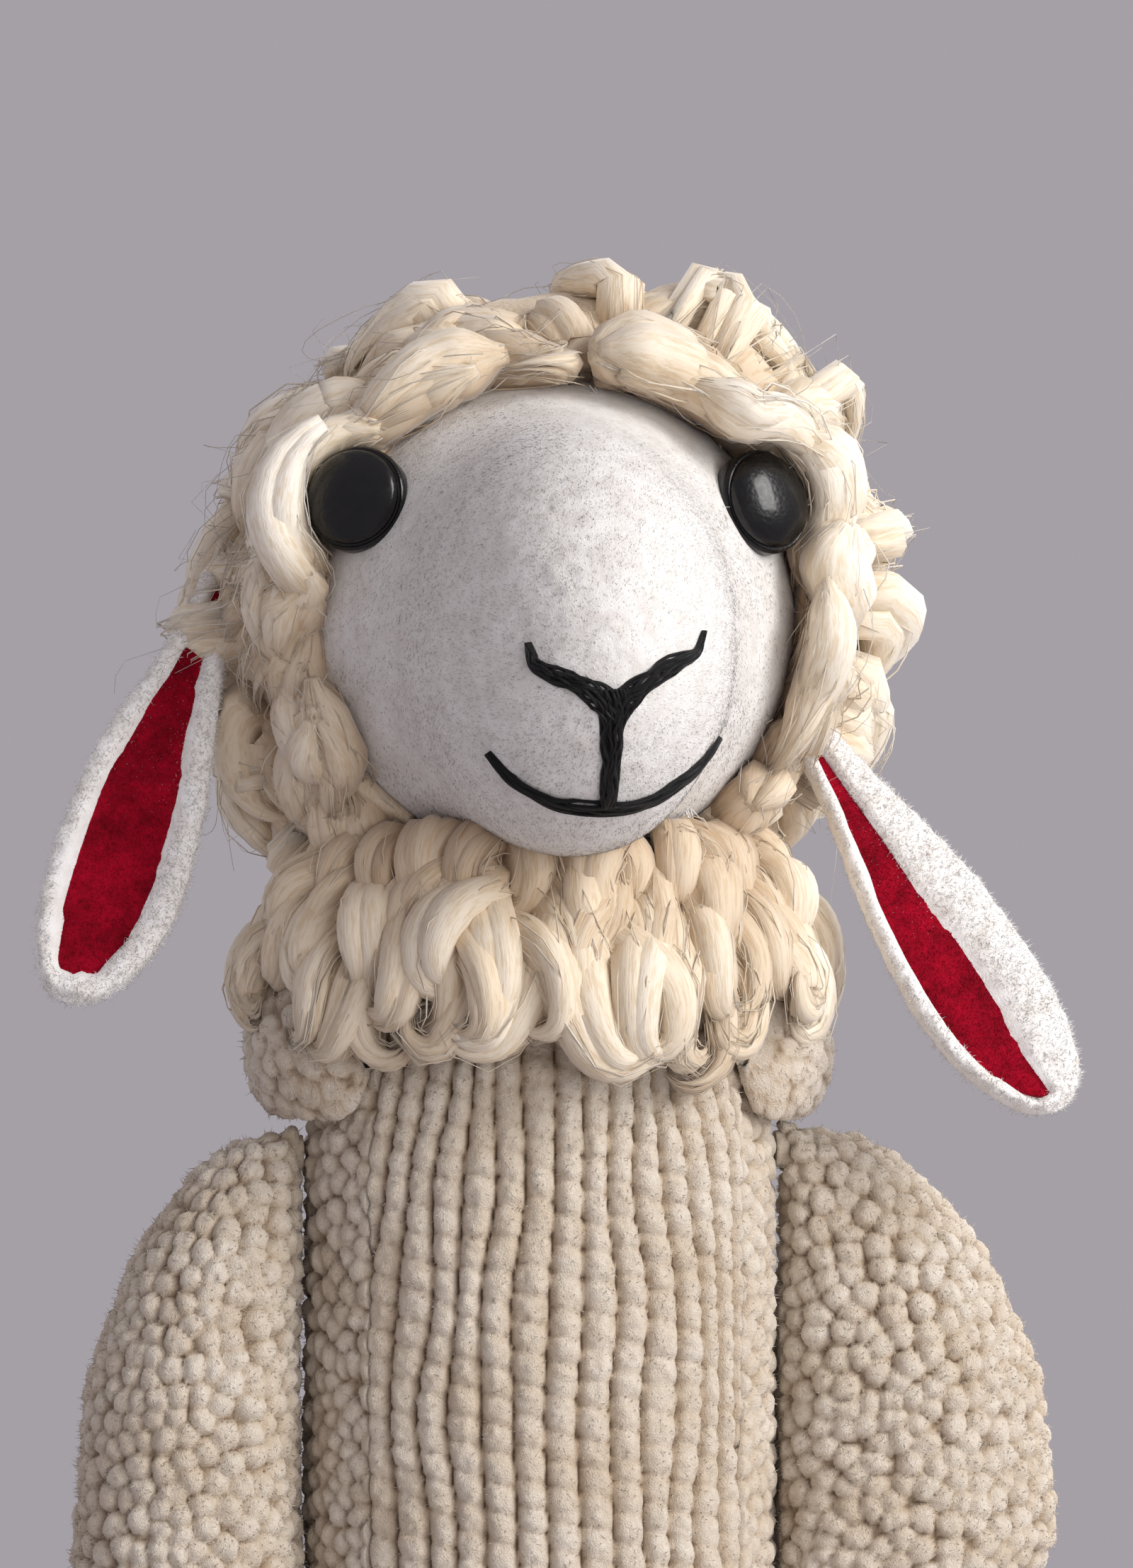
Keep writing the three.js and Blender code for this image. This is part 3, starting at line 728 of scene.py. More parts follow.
def spots(grid_places, grid_normals, count, rng):
    """Chance places on a grid surface, with their directions, even over its area."""
    a, b = grid_places[:-1, :-1], grid_places[1:, :-1]
    c = grid_places[:-1, 1:]
    area = np.linalg.norm(np.cross(b - a, c - a), axis=-1)
    pick = rng.choice(area.size, count, p=area.ravel() / area.sum())
    i, j = np.unravel_index(pick, area.shape)
    s, t = rng.uniform(0, 1, (2, count, 1))

    def within(grid):
        here, beside = (shared(grid[i, k], grid[i + 1, k], s) for k in (j, j + 1))
        return shared(here, beside, t)

    return within(grid_places), unit(within(grid_normals))


# ---- Sizes that the frame gives -------------------------------------------------------------------

HEAD = np.array([0, 0, 263.0])  # the head's centre
BALL = np.array([55.0, 53, 54])
MUZZLE = np.array([33.0, 55, 44])
MUZZLE_AT = np.array([0, -42.0, -5])
MUZZLE_DROOP = math.radians(12)
BLEND = 6.0  # how softly the muzzle runs into the ball
PLUSH_THICK = 3.0
COVER_SEAM = 6.0
DEPTH_SHARE = 0.78  # the body's oval: its depth over its width
NECK_SHARE = 0.88  # the neck's
BODY_BOTTOM, SHOULDER, BODY_TOP = 16.3, 150.0, 184.0
KNIT = 6.0


def body_half_width(z):
    return np.interp(z, [0, SHOULDER, BODY_TOP], [51, 51, 45])


def reach_of(direction, centre, half, droop):
    """How far an oval ball, tipped by droop, reaches from the head's centre."""
    turn = np.array(Matrix.Rotation(-droop, 3, "X"))
    along = direction @ turn.T / half
    origin = -centre @ turn.T / half
    a, b = (along**2).sum(-1), along @ origin
    return (-b + np.sqrt(b * b - a * (origin @ origin - 1))) / a


def head_reach(direction):
    """How far the plush reaches from the head's centre."""
    ball = reach_of(direction, np.zeros(3), BALL, 0)
    muzzle = reach_of(direction, MUZZLE_AT, MUZZLE, MUZZLE_DROOP)
    most = np.maximum(ball, muzzle)
    return most + BLEND * np.log(np.exp((ball - most) / BLEND) + np.exp((muzzle - most) / BLEND))


def on_face(x, z, lift):
    """The places on the plush straight in front of (x, z), about the head's centre."""
    x, z = np.broadcast_arrays(np.asarray(x, float), np.asarray(z, float))
    inside, outside = np.zeros_like(x), np.full_like(x, -152)
    for _ in range(36):
        y = (inside + outside) / 2
        at = np.stack([x, y, z], -1)
        within = np.linalg.norm(at, axis=-1) < head_reach(unit(at)) + lift
        inside, outside = np.where(within, y, inside), np.where(within, outside, y)
    return np.stack([x, inside, z], -1)


def face_normal(places):
    """Outward directions at places on the plush, about the head's centre."""
    step = 0.4
    steps = []
    for axis in np.eye(3) * step:
        high, low = places + axis, places - axis
        rise = np.linalg.norm(high, axis=-1) - head_reach(unit(high))
        fall = np.linalg.norm(low, axis=-1) - head_reach(unit(low))
        steps.append(rise - fall)
    return unit(np.stack(steps, -1))


# ---- The knitted body ----------------------------------------------------------------------------

LUMP_DEEP = 3.2  # from the top of a chenille bobble to the crevice beside it
WALES = 13  # ribs across the front panel
STITCH_HIGH = 6.3


def oval_turns(low, high, count):
    """Angles round the body's oval, from low to high degrees, evenly spaced along it."""
    fine = np.radians(np.linspace(low, high, 2000))
    steps = np.hypot(np.diff(np.cos(fine)), DEPTH_SHARE * np.diff(np.sin(fine)))
    return evenly(steps, count, fine)[0]


def oval_grid(half, heights, turns, share):
    """Places round an oval, with a half width and a height for each row."""
    outline = np.stack([np.cos(turns), share * np.sin(turns)], -1)
    high = np.repeat(heights[:, None], len(turns), 1)
    return np.concatenate([half[:, None, None] * outline, high[..., None]], -1)


def ribs(turns, heights):
    """Stacked rounded stitches in upright ribs: height from 0 to 1 at each place of the front panel."""
    z, turn = np.meshgrid(heights, turns, indexing="ij")
    middle = np.radians(-90)
    share = (turn - middle) / (turns[-1] - middle)
    share = share * (1 + 0.16 * eased((z - 105) / 75))
    drift = 0.3 * lumps(np.stack([share * 3, z / 24, 0 * z], -1), 1, 5)
    wale = (share + 1) / 2 * WALES + drift
    rib = np.floor(wale)
    aside = 2 * (wale - rib) - 1
    seeds = np.stack([rib, 0 * rib, 0 * rib], -1)
    offset = 0.5 * lumps(seeds + 0.37, 1, 11) + 0.5 * (rib % 2)
    wander = 0.22 * lumps(np.stack([rib * 7, z / 9, 0 * z], -1), 1, 3)
    stack = z / STITCH_HIGH + offset + 0.13 * aside + wander
    stitch = np.floor(stack)
    tall = 2 * (stack - stitch) - 1
    size = 0.86 + 0.14 * lumps(np.stack([rib * 3.1, stitch * 1.7, 0 * z], -1), 1, 8)
    bead = np.sqrt(np.clip(1 - np.abs(tall) ** 2.2, 0, 1))
    over = np.sqrt(np.clip(1 - np.abs(aside * (1.18 - 0.18 * bead)) ** 2.0, 0, 1))
    return np.clip(over * (0.62 + 0.38 * bead) * size, 0, 1)


def knit_wall(name, turns, bottom, top, spacing, height_of):
    """A closed wall of chenille knit that follows the body: its face, its lining side and its edges."""
    rows = int((top - bottom) / spacing)
    heights = np.linspace(bottom, top, rows)
    face = oval_grid(body_half_width(heights), heights, turns, DEPTH_SHARE)
    facing = surface_normals(face, round_columns=False)
    high = height_of(face)
    fluff = 0.45 * lumps(face.reshape(-1, 3), 1.5, 21).reshape(high.shape)
    edge = np.minimum(np.arange(rows), np.arange(rows)[::-1]) * spacing
    rounding = np.clip(1 - edge / 3, 0, 1)[:, None] ** 2 * 1.5
    out = face + facing * (LUMP_DEEP * (high - 1) + 0.5 + fluff - rounding)[..., None]
    back_heights = np.linspace(top, bottom, 8)
    back = oval_grid(body_half_width(back_heights) - KNIT, back_heights, turns, DEPTH_SHARE)
    grid = np.concatenate([out, back])
    # painted shade for the chenille finish: the bobbles' heights, and a darker 0.35 all over the lining side
    depth = np.concatenate([high, np.full(back.shape[:2], 0.35)])
    faces = [net(*grid.shape[:2], round_rows=True)]
    columns = len(turns)
    first = np.arange(grid.shape[0]) * columns
    faces += [first[None], (first + columns - 1)[None][:, ::-1]]
    made = shaped(name, grid.reshape(-1, 3), faces, depth=depth.ravel())
    return made, out, facing


FRONT_EDGE = math.degrees(math.asin(40 / 51))
front_turns = oval_turns(-90 - FRONT_EDGE, -90 + FRONT_EDGE, 138)
front_panel, front_face, front_facing = knit_wall(
    "body_front", front_turns, BODY_BOTTOM, BODY_TOP, 0.66,
    lambda face: ribs(front_turns, face[:, 0, 2]),
)
fitted(front_panel, "body", CHENILLE, ["body_front_panel"])

BACK_EDGE = FRONT_EDGE + 0.4
back_panel, back_face, back_facing = knit_wall(
    "body_back", oval_turns(-90 + BACK_EDGE, 270 - BACK_EDGE, 236), BODY_BOTTOM, BODY_TOP, 0.86,
    lambda face: bobbles(face.reshape(-1, 3), 5.0, 31).reshape(face.shape[:2]),
)
fitted(back_panel, "body", CHENILLE, ["body_back_panel"])


def round_loop(outer, inner, rows_out, rows_in):
    """Radii and heights of a ring's section: up the outside and down the inside, closed."""
    (r0, low), (r1, high) = outer
    (q0, _), (q1, _) = inner
    up = np.linspace(0, 1, rows_out)
    down = np.linspace(1, 0, rows_in)
    radius = np.concatenate([shared(r0, r1, up), shared(q0, q1, down)])
    height = np.concatenate([shared(low, high, up), shared(low, high, down)])
    return radius, height


def turned_ring(name, radius, height, columns, share, relief=None):
    """A closed ring from a section of radii and heights. Relief, given places, moves them outwards."""
    turn = np.linspace(0, 2 * np.pi, columns, endpoint=False)
    grid = oval_grid(radius, height, turn, share)
    out = unit(grid * [1, 1, 0])
    shade = np.full(grid.shape[:2], 0.6)
    if relief:
        moved, shade = relief(grid, turn)
        grid = grid + out * moved[..., None]
    made = shaped(name, grid.reshape(-1, 3), [net(*grid.shape[:2], True, True)], depth=shade.ravel())
    return made, grid, out


HEM_ROWS, HEM_HIGH, HEM_RIBS = 26, 16, 54


def hem_relief(grid, turn):
    """Upright ribs of chenille on the outside of the hem band, and its rounded edges."""
    high = grid[..., 2]
    around = turn * HEM_RIBS / 2
    rib = np.abs(np.sin(around))[None] ** 0.6
    beads = 0.5 + 0.5 * np.abs(np.sin(high * 0.62 + np.floor(around / np.pi)[None] * 1.3)) ** 0.7
    shade = rib * beads
    outside = (np.arange(len(grid)) < HEM_ROWS)[:, None]
    rounding = 2.2 * np.clip(np.abs(high - HEM_HIGH / 2) / (HEM_HIGH / 2), 0, 1) ** 5
    return np.where(outside, 2.8 * (shade - 1) + 0.6 - rounding, 0), np.where(outside, shade, 0.35)


hem, hem_face, hem_facing = turned_ring(
    "hem_band_knit", *round_loop([(54, 0), (54, HEM_HIGH)], [(45, 0), (45, HEM_HIGH)], HEM_ROWS, 5),
    432, DEPTH_SHARE, hem_relief,
)
fitted(hem, "body", CHENILLE, ["hem_band"])


def cloth_relief(size, amount):
    """The shallow creases of loose cloth."""

    def relief(grid, turn):
        moved = amount * lumps(grid.reshape(-1, 3), size, 4).reshape(grid.shape[:2])
        return moved, np.full(moved.shape, 0.6)

    return relief


lining_high = np.linspace(16.4, 179.6, 60)
lining_out = body_half_width(lining_high) - KNIT - 0.5
lining, _, _ = turned_ring(
    "cotton_body_lining",
    np.concatenate([lining_out, lining_out[::-1] - 1.0]), np.concatenate([lining_high, lining_high[::-1]]),
    96, DEPTH_SHARE, cloth_relief(22, 0.25),
)
fitted(lining, "body", COTTON, ["body_lining"])

yoke, _, _ = turned_ring(
    "cotton_neck_yoke", *round_loop([(38.4, 180.2), (38.2, 183.9)], [(29.5, 0), (29.5, 0)], 6, 6),
    96, DEPTH_SHARE,
)
fitted(yoke, "body", COTTON, ["neck_yoke"])


SLEEVE_ROWS = 30


def sleeve_relief(grid, turn):
    """Fine knitted ribs round the outside of the neck sleeve."""
    rib = np.abs(np.sin(turn * 30))[None] ** 0.6 * np.ones((len(grid), 1))
    outside = (np.arange(len(grid)) < SLEEVE_ROWS)[:, None]
    return np.where(outside, 1.1 * (rib - 1), 0), np.where(outside, rib, 0.4)


neck, _, _ = turned_ring(
    "neck_sleeve_knit", *round_loop([(29, 168), (29, 200)], [(26.5, 0), (26.5, 0)], SLEEVE_ROWS, 6), 240,
    NECK_SHARE, sleeve_relief,
)
fitted(neck, None, CHENILLE, ["neck_sleeve"])
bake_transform(neck)


def collar():
    """The soft roll round the sides and the back of the body's upper edge."""
    middle, high, front = body_half_width(173.5) + 2 + 8, 173.5, -27
    start = math.asin(front / (middle * DEPTH_SHARE))
    steps, sides = 300, 64
    turn = np.linspace(start, math.pi - start, steps)
    section = np.linspace(0, 2 * np.pi, sides, endpoint=False)
    run = np.minimum(np.arange(steps), np.arange(steps)[::-1]) / steps * 260
    close = np.sqrt(np.clip(1 - (1 - np.clip(run / 34, 0.02, 1)) ** 2, 0, 1))[:, None]
    end = np.sqrt(np.clip(1 - (1 - np.clip(run / 8, 0.02, 1)) ** 2, 0, 1))[:, None]
    sag = 2.5 * lumps(np.stack([turn * 3, 0 * turn, 0 * turn], -1), 1, 9)[:, None]
    radius = middle - 1.5 - 6 * (1 - close) + 8 * close * np.cos(section)[None]
    grid = np.stack(
        [
            radius * np.cos(turn)[:, None],
            radius * DEPTH_SHARE * np.sin(turn)[:, None],
            high - 2.5 + 0.5 * sag + 14 * end * np.sin(section)[None],
        ],
        -1,
    )
    core = np.stack([middle * np.cos(turn), middle * DEPTH_SHARE * np.sin(turn), 0 * turn + high], -1)
    out = unit(grid - core[:, None])
    height = bobbles(grid.reshape(-1, 3), 4.8, 57).reshape(steps, sides)
    fluff = 0.35 * lumps(grid.reshape(-1, 3), 1.3, 22).reshape(steps, sides)
    grid = grid + out * (2.6 * (height - 1) * close + 1.2 * close + fluff)[..., None]
    # the bobbles' heights become the depth attribute, which the chenille finish turns into painted shade between
    # them
    made = shaped("collar_roll", grid.reshape(-1, 3), capped(steps, sides), depth=height.ravel())
    return made, grid, out


collar_roll, collar_face, collar_facing = collar()
fitted(collar_roll, "body", CHENILLE, ["neck_collar"])

# ---- The arms ------------------------------------------------------------------------------------

ARM_TOP, ARM_LONG, ARM_IN = 154.5, 121.0, 54.5
ARM_DOWN = [0, 0.03, 0.08, 0.21, 0.45, 0.75, 0.92, 0.985, 1]
ARM_WIDE = [0, 0.29, 0.45, 0.7, 0.93, 1, 0.83, 0.42, 0]
ARMS = {"left": (1, 29.2, 21.5), "right": (-1, 23.2, 26.0)}


def arm_outline(steps):
    """Shares of the length and of the width, evenly spaced down an arm's smooth outline."""
    t = np.linspace(0, 1, len(ARM_DOWN))
    fine = np.linspace(0, 1, 800)
    down, wide = (smoothed(np.interp(fine, t, shares), 60) for shares in (ARM_DOWN, ARM_WIDE))
    lengths = np.hypot(np.diff(down) * ARM_LONG, np.diff(wide) * 25)
    down, wide = evenly(lengths, steps, down, wide)
    return down, np.maximum(wide, 0.004)


def arm_grid(side, half_width, half_depth, inset, steps, columns):
    down, wide = arm_outline(steps)
    turn = np.linspace(0, 2 * np.pi, columns, endpoint=False)
    x = ARM_IN + half_width * wide[:, None] + (half_width - inset) * wide[:, None] * np.cos(turn)
    y = (half_depth - inset) * wide[:, None] * np.sin(turn)
    z = np.repeat((ARM_TOP - inset - down * (ARM_LONG - 2 * inset))[:, None], columns, 1)
    return np.stack([side * x, y, z], -1)


def arm_pieces(name, side, half_width, half_depth):
    steps, columns = 172, 200
    grid = arm_grid(side, half_width, half_depth, 0, steps, columns)
    out = surface_normals(grid)
    middle = grid.mean(1, keepdims=True)
    out = np.where(((grid - middle) * out).sum(-1, keepdims=True) < 0, -out, out)
    sag = 1.3 * lumps(grid.reshape(-1, 3), 26, 17).reshape(steps, columns)
    height = bobbles(grid.reshape(-1, 3), 4.9, 71 + side).reshape(steps, columns)
    fluff = 0.45 * lumps(grid.reshape(-1, 3), 1.5, 23).reshape(steps, columns)
    inward = 2.6 * eased((-side * out[..., 0] - 0.2) / 0.6)
    moved = grid + out * (3.0 * (height - 1) + 1.3 + fluff + sag + inward)[..., None]
    inner_edge = ARM_IN - 2.8  # the body's side is just inside it
    moved[..., 0] = side * np.maximum(side * moved[..., 0], inner_edge)
    # the bobbles' heights, and full height at the two poles, become the depth attribute that the chenille finish
    # turns into painted shade
    depth = np.concatenate([[1.0], height[1:-1].ravel(), [1.0]])
    sleeve = shaped(f"{name}_arm_knit", *poled(moved), depth=depth)
    fitted(sleeve, f"{name}_arm", CHENILLE, [f"{name}_arm_sleeve"])
    core = arm_grid(side, half_width, half_depth, 5.3, 40, 36)
    lumpy = 0.4 * lumps(core.reshape(-1, 3), 6, 2).reshape(core.shape[:2])
    stuffed = shaped(f"{name}_arm_filling", *poled(core + lumpy[..., None] * surface_normals(core)))
    fitted(stuffed, f"{name}_arm", FILLING, [f"{name}_arm_stuffing"])
    return moved[2:-2], out[2:-2]


def shoulder_tab(name, side):
    """The short knitted strip that joins an arm to the body."""
    bpy.ops.object.select_all(action="DESELECT")
    bpy.ops.mesh.primitive_uv_sphere_add(segments=32, ring_count=20, radius=4 * MM)
    tab = bpy.context.object
    tab.name = tab.data.name = f"{name}_shoulder_knit"
    places = np.array([v.co for v in tab.data.vertices]) / MM
    places = places * (1 + 0.09 * lumps(places, 1.6, 6)[:, None])
    places[:, 0] = np.clip(places[:, 0], -1.45, 1.45)
    for vertex, place in zip(tab.data.vertices, places + [side * 52.75, 0, 149]):
        vertex.co = place * MM
    bpy.ops.object.shade_smooth()
    tab.data.attributes.new("depth", "FLOAT", "POINT").data.foreach_set("value", np.full(len(places), 0.7))
    fitted(tab, f"{name}_shoulder", CHENILLE, [f"{name}_shoulder_tab"])


arm_faces = {}
for arm_name, sizes in ARMS.items():
    arm_faces[arm_name] = arm_pieces(arm_name, *sizes)
    shoulder_tab(arm_name, sizes[0])


def fluff_piece(name, body, hosts, count, seed):
    """Loose fibre ends that stand off the chenille."""
    rng = np.random.default_rng(seed)
    each = count // len(hosts)
    drawn = zip(*(spots(face, facing, each, rng) for face, facing in hosts))
    roots, aims = (np.concatenate(part) for part in drawn)
    aims = unit(aims + 0.72 * rng.normal(size=aims.shape))
    long = rng.uniform(0.7, 2.1, len(roots))
    places, faces = fibres(roots - 0.2 * aims, aims, long, 0.13)
    # none hangs below the hem; the four corners of one that would are kept apart
    places[:, 2] = np.maximum(places[:, 2], 0.1 + 0.05 * (np.arange(len(places)) % 4))
    made = shaped(name, places, faces, depth=np.full(len(places), 0.95))
    fitted(made, body, CHENILLE)


fluff_piece(
    "body_fluff", "body",
    [(front_face, front_facing), (back_face, back_facing), (collar_face, collar_facing), (hem_face, hem_facing)],
    19000, 3,
)
for arm_name in ARMS:
    fluff_piece(f"{arm_name}_arm_fluff", f"{arm_name}_arm", [arm_faces[arm_name]], 8500, 5)

# ---- The head ------------------------------------------------------------------------------------


def head_directions(turns, round_steps):
    """Directions from the head's centre in rings about the Y axis. Turns are from the muzzle's end."""
    phi = np.linspace(0, 2 * np.pi, round_steps, endpoint=False)
    turn = turns if turns.ndim == 2 else np.repeat(turns[:, None], round_steps, 1)
    return np.stack([np.sin(turn) * np.cos(phi), -np.cos(turn), np.sin(turn) * np.sin(phi)], -1)


def seam_turn(round_steps, y):
    """The turn at which each direction's place on the head lies on the plane at y."""
    turn = np.full((1, round_steps), math.pi / 2)
    for _ in range(30):
        reach = head_reach(head_directions(turn, round_steps))
        turn = np.arccos(np.clip(-y / reach, -1, 1))
    return turn[0]


def head_half(name, front, steps, round_steps, finish, node, relief):
    """One cover of the head: a closed wall of plush or cotton, from its pole to the seam."""
    edge = seam_turn(round_steps, COVER_SEAM if front else COVER_SEAM + 0.3)
    share = np.linspace(0, 1, steps)
    if front:
        turn = share[:, None] ** 1.15 * edge
    else:
        turn = math.pi - share[:, None] * (math.pi - edge)
    way = head_directions(turn, round_steps)
    reach = head_reach(way)
    outside = way * reach[..., None]
    raised = relief(outside)
    back_rows = 16
    back_turn = turn[:: -max(1, steps // back_rows)]
    back_way = head_directions(np.concatenate([turn[-1:], back_turn[1:]]), round_steps)
    inside = back_way * (head_reach(back_way) - PLUSH_THICK + 0.3)[..., None]
    rows = np.concatenate([(way * (reach + raised)[..., None])[1:], inside[:-1]])
    if not np.allclose(back_turn[-1], turn[0]):
        rows = np.concatenate([rows, inside[-1:]])
    outer_pole = way[0, 0] * (reach[0, 0] + raised[0, 0])
    inner_pole = way[0, 0] * (reach[0, 0] - PLUSH_THICK + 0.3)
    places = np.concatenate([rows.reshape(-1, 3), [outer_pole, inner_pole]])
    count = len(rows) * round_steps
    ring = np.arange(round_steps)
    faces = [net(len(rows), round_steps, round_columns=True)]
    faces += [fan(count, ring[::-1]), fan(count + 1, ring + (len(rows) - 1) * round_steps)]
    made = shaped(name, places + HEAD, faces)
    bored(made, 32, 60, 203, 72, NECK_SHARE)
    fitted(made, "head", finish, [node])
    return way * (reach + raised)[..., None], way


def plush_relief(places):
    """Tufts of the pile, coarser and more mottled on the muzzle than on the cheeks."""
    muzzle = eased((-places[..., 1] - 48) / 30)
    tufted = lumps(places, 2.6, 41) + 0.5 * lumps(places, 1.2, 42)
    return 0.2 * tufted * (0.2 + 0.8 * muzzle) + 0.4 * lumps(places, 16, 43)


face_places, face_ways = head_half(
    "face_plush_cover", True, 150, 190, PLUSH, "face_cover", plush_relief
)
head_half(
    "back_cotton_cover", False, 40, 96, COTTON, "head_back_cover",
    lambda places: 0.3 * lumps(places, 14, 44),
)


def nap_aims(places, facing, rng):
    """How the pile lies: brushed down the cheeks, and up and outwards from the nose on the muzzle."""
    down = np.array([0, 0.15, -1.0])
    from_nose = unit(places - np.array([0, -97, -18]))
    muzzle = eased((-places[:, 1] - 40) / 45)[:, None]
    flat = [way - (way * facing).sum(-1, keepdims=True) * facing for way in (down, from_nose)]
    brush = shared(unit(flat[0]), unit(flat[1]), muzzle) + 0.45 * rng.normal(size=places.shape)
    brush = unit(brush - (brush * facing).sum(-1, keepdims=True) * facing)
    stand = shared(0.25, 0.5, muzzle) * rng.uniform(0.7, 1.3, (len(places), 1))
    return unit(brush + stand * facing)


EYE_X, EYE_Z, EYE_OUT, EYE_UP = 41.0, 23.5, 30.0, 12.0
EYE_PROUD = 1.0  # how far the pile holds a button off its seat
eye_seat = on_face(EYE_X, EYE_Z, 0)


def eye_matrix(side):
    seat = Matrix.Translation(Vector((side * eye_seat[0], eye_seat[1], eye_seat[2])) + Vector(HEAD))
    out = Matrix.Rotation(side * math.radians(EYE_OUT), 4, "Z")
    return seat @ out @ Matrix.Rotation(math.radians(90 - EYE_UP), 4, "X")


def face_pile():
    """The short pile of the face, in two pieces: cheeks and muzzle."""
    rng = np.random.default_rng(12)
    roots, _ = spots(face_places, face_ways, 58000, rng)
    facing = face_normal(roots)
    seen = (np.hypot(roots[:, 0], roots[:, 2] + 2) < 61) & (roots[:, 1] < -2)
    for side in (1, -1):
        middle = np.array(eye_matrix(side).translation) - HEAD
        seen &= np.linalg.norm(roots - middle, axis=-1) > 11.6
    roots, facing = roots[seen], facing[seen]
    aims = nap_aims(roots, facing, rng)
    muzzle = eased((-roots[:, 1] - 48) / 30)
    long = shared(1.5, 1.1, muzzle) * rng.uniform(0.7, 1.3, len(roots))
    for name, part in (("cheek_pile", muzzle < 0.5), ("muzzle_pile", muzzle >= 0.5)):
        places, faces = fibres(roots[part] - 0.3 * facing[part] + HEAD, aims[part], long[part], 0.13)
        fitted(shaped(name, places, faces), "head", PLUSH)


face_pile()


def loose_tufts():
    """Longer wisps: one tuft over an eye's inner edge, and a few under the chin."""
    rng = np.random.default_rng(15)
    steps = np.linspace(0, 1, 8)
    lines = []
    tufts = [((-30.5, 27.5), (0.9, -0.35, -0.75), 6.0, 26), ((31.5, 21.0), (0.5, -0.5, -0.7), 3.5, 20)]
    tufts += [((25, -44), (0.05, -0.1, -1.0), 10, 30), ((28, -41), (0.3, -0.1, -0.9), 8, 18)]
    for (x, z), lean, long, count in tufts:
        root = on_face(x + rng.normal(0, 1.0, count), z + rng.normal(0, 1.0, count), -0.4)
        lean = unit(np.array(lean) + 0.16 * rng.normal(size=(count, 3)))
        bend = unit(np.array([0, -0.4, -0.3]) + 0.3 * rng.normal(size=(count, 3)))
        reach = long * rng.uniform(0.6, 1.1, (count, 1, 1))
        t = steps[None, :, None]
        lines.append(root[:, None] + lean[:, None] * reach * t + bend[:, None] * reach * 0.35 * t * t)
    lines = np.concatenate(lines) + HEAD
    thick = np.tile(0.16 * (1 - 0.8 * steps), (len(lines), 1))
    places, faces, _ = tubes(lines, thick, 4, np.array([0.3, 1, 0.2]))
    fitted(shaped("face_wisps", places, faces), "head", PLUSH)


loose_tufts()


EYE_BASE = 9.4  # the radius a button is built up from


def eye_domes():
    """Domed leather buttons with a rolled rim."""
    for name, side in (("left", 1), ("right", -1)):
        bpy.ops.object.select_all(action="DESELECT")
        bpy.ops.mesh.primitive_circle_add(vertices=72, radius=EYE_BASE * MM, fill_type="NGON")
        dome = bpy.context.object
        dome.name = dome.data.name = f"{name}_eye_button"
        bpy.ops.object.mode_set(mode="EDIT")
        bpy.ops.mesh.select_all(action="SELECT")
        rim = [(11.0, 0.2), (11.25, 3.4), (11.15, 4.15), (10.75, 4.55), (10.3, 4.4), (10.05, 4.55)]
        crown = [(10.8 * math.cos(a), 4.2 + 5.0 * math.sin(a)) for a in np.radians(np.arange(24, 90, 6))]
        radius, height = EYE_BASE, 0
        for wide, high in rim + crown:
            step = (0, 0, (high - height) * MM)
            bpy.ops.mesh.extrude_region_move(TRANSFORM_OT_translate={"value": step})
            size = wide / radius
            bpy.ops.transform.resize(value=(size, size, 1), center_override=(0, 0, high * MM))
            radius, height = wide, high
        bpy.ops.mesh.select_all(action="SELECT")
        bpy.ops.mesh.normals_make_consistent(inside=False)
        bpy.ops.object.mode_set(mode="OBJECT")
        bpy.ops.object.shade_smooth_by_angle(angle=math.radians(50))
        place = eye_matrix(side) @ Matrix.Translation((0, 0, EYE_PROUD))
        place.translation = place.translation * MM
        dome.data.transform(place)
        fitted(dome, "head", LEATHER, [f"{name}_eye_dome"])


eye_domes()


def thread_bundle(path, half_width, rise, count, seed):
    """Embroidery: black threads laid side by side along a path of (across, up) on the face."""
    rng = np.random.default_rng(seed)
    places = on_face(path[:, 0], path[:, 1], 0.2)
    out = face_normal(places)
    along = unit(np.gradient(places, axis=0))
    across = unit(np.cross(along, out))
    t = np.linspace(0, 1, len(path))
    lines, thick = [], []
    for k in range(count):
        seat = 2 * (k + 0.5) / count - 1
        weave_about = 0.22 * np.sin(2 * np.pi * (t * rng.uniform(1.5, 3) + rng.uniform()))
        aside = np.clip(seat + weave_about, -1, 1) * half_width
        high = rise * np.sqrt(np.clip(1 - (aside / np.maximum(half_width, 0.1)) ** 2, 0, 1))
        high = high * (0.75 + 0.25 * np.sin(2 * np.pi * (t * rng.uniform(2, 5) + rng.uniform())))
        lines.append(places + across * aside[:, None] + out * high[:, None])
        thick.append(np.minimum(0.42, 0.2 + 0.2 * half_width) * (0.9 + 0.1 * np.sin(9 * t + k)))
    return np.array(lines) + HEAD, np.array(thick)


def rolled(x, z):
    """Embroidery sits a little askew: turned about the face's middle."""
    askew = math.radians(2.6)
    c, s = math.cos(askew), math.sin(askew)
    return np.stack([x * c - z * s, z * c + x * s], -1)


def smooth_path(corners, steps):
    """A smooth curve through a few (across, up) corners."""
    corners = np.array(corners, float)
    at = np.linspace(0, 1, len(corners))
    fine = np.linspace(0, 1, 400)
    curve = np.stack([np.interp(fine, at, corners[:, k]) for k in (0, 1)], -1)
    curve = smoothed(curve, 500)
    return np.stack(evenly(np.linalg.norm(np.diff(curve, axis=0), axis=1), steps, *curve.T), -1)


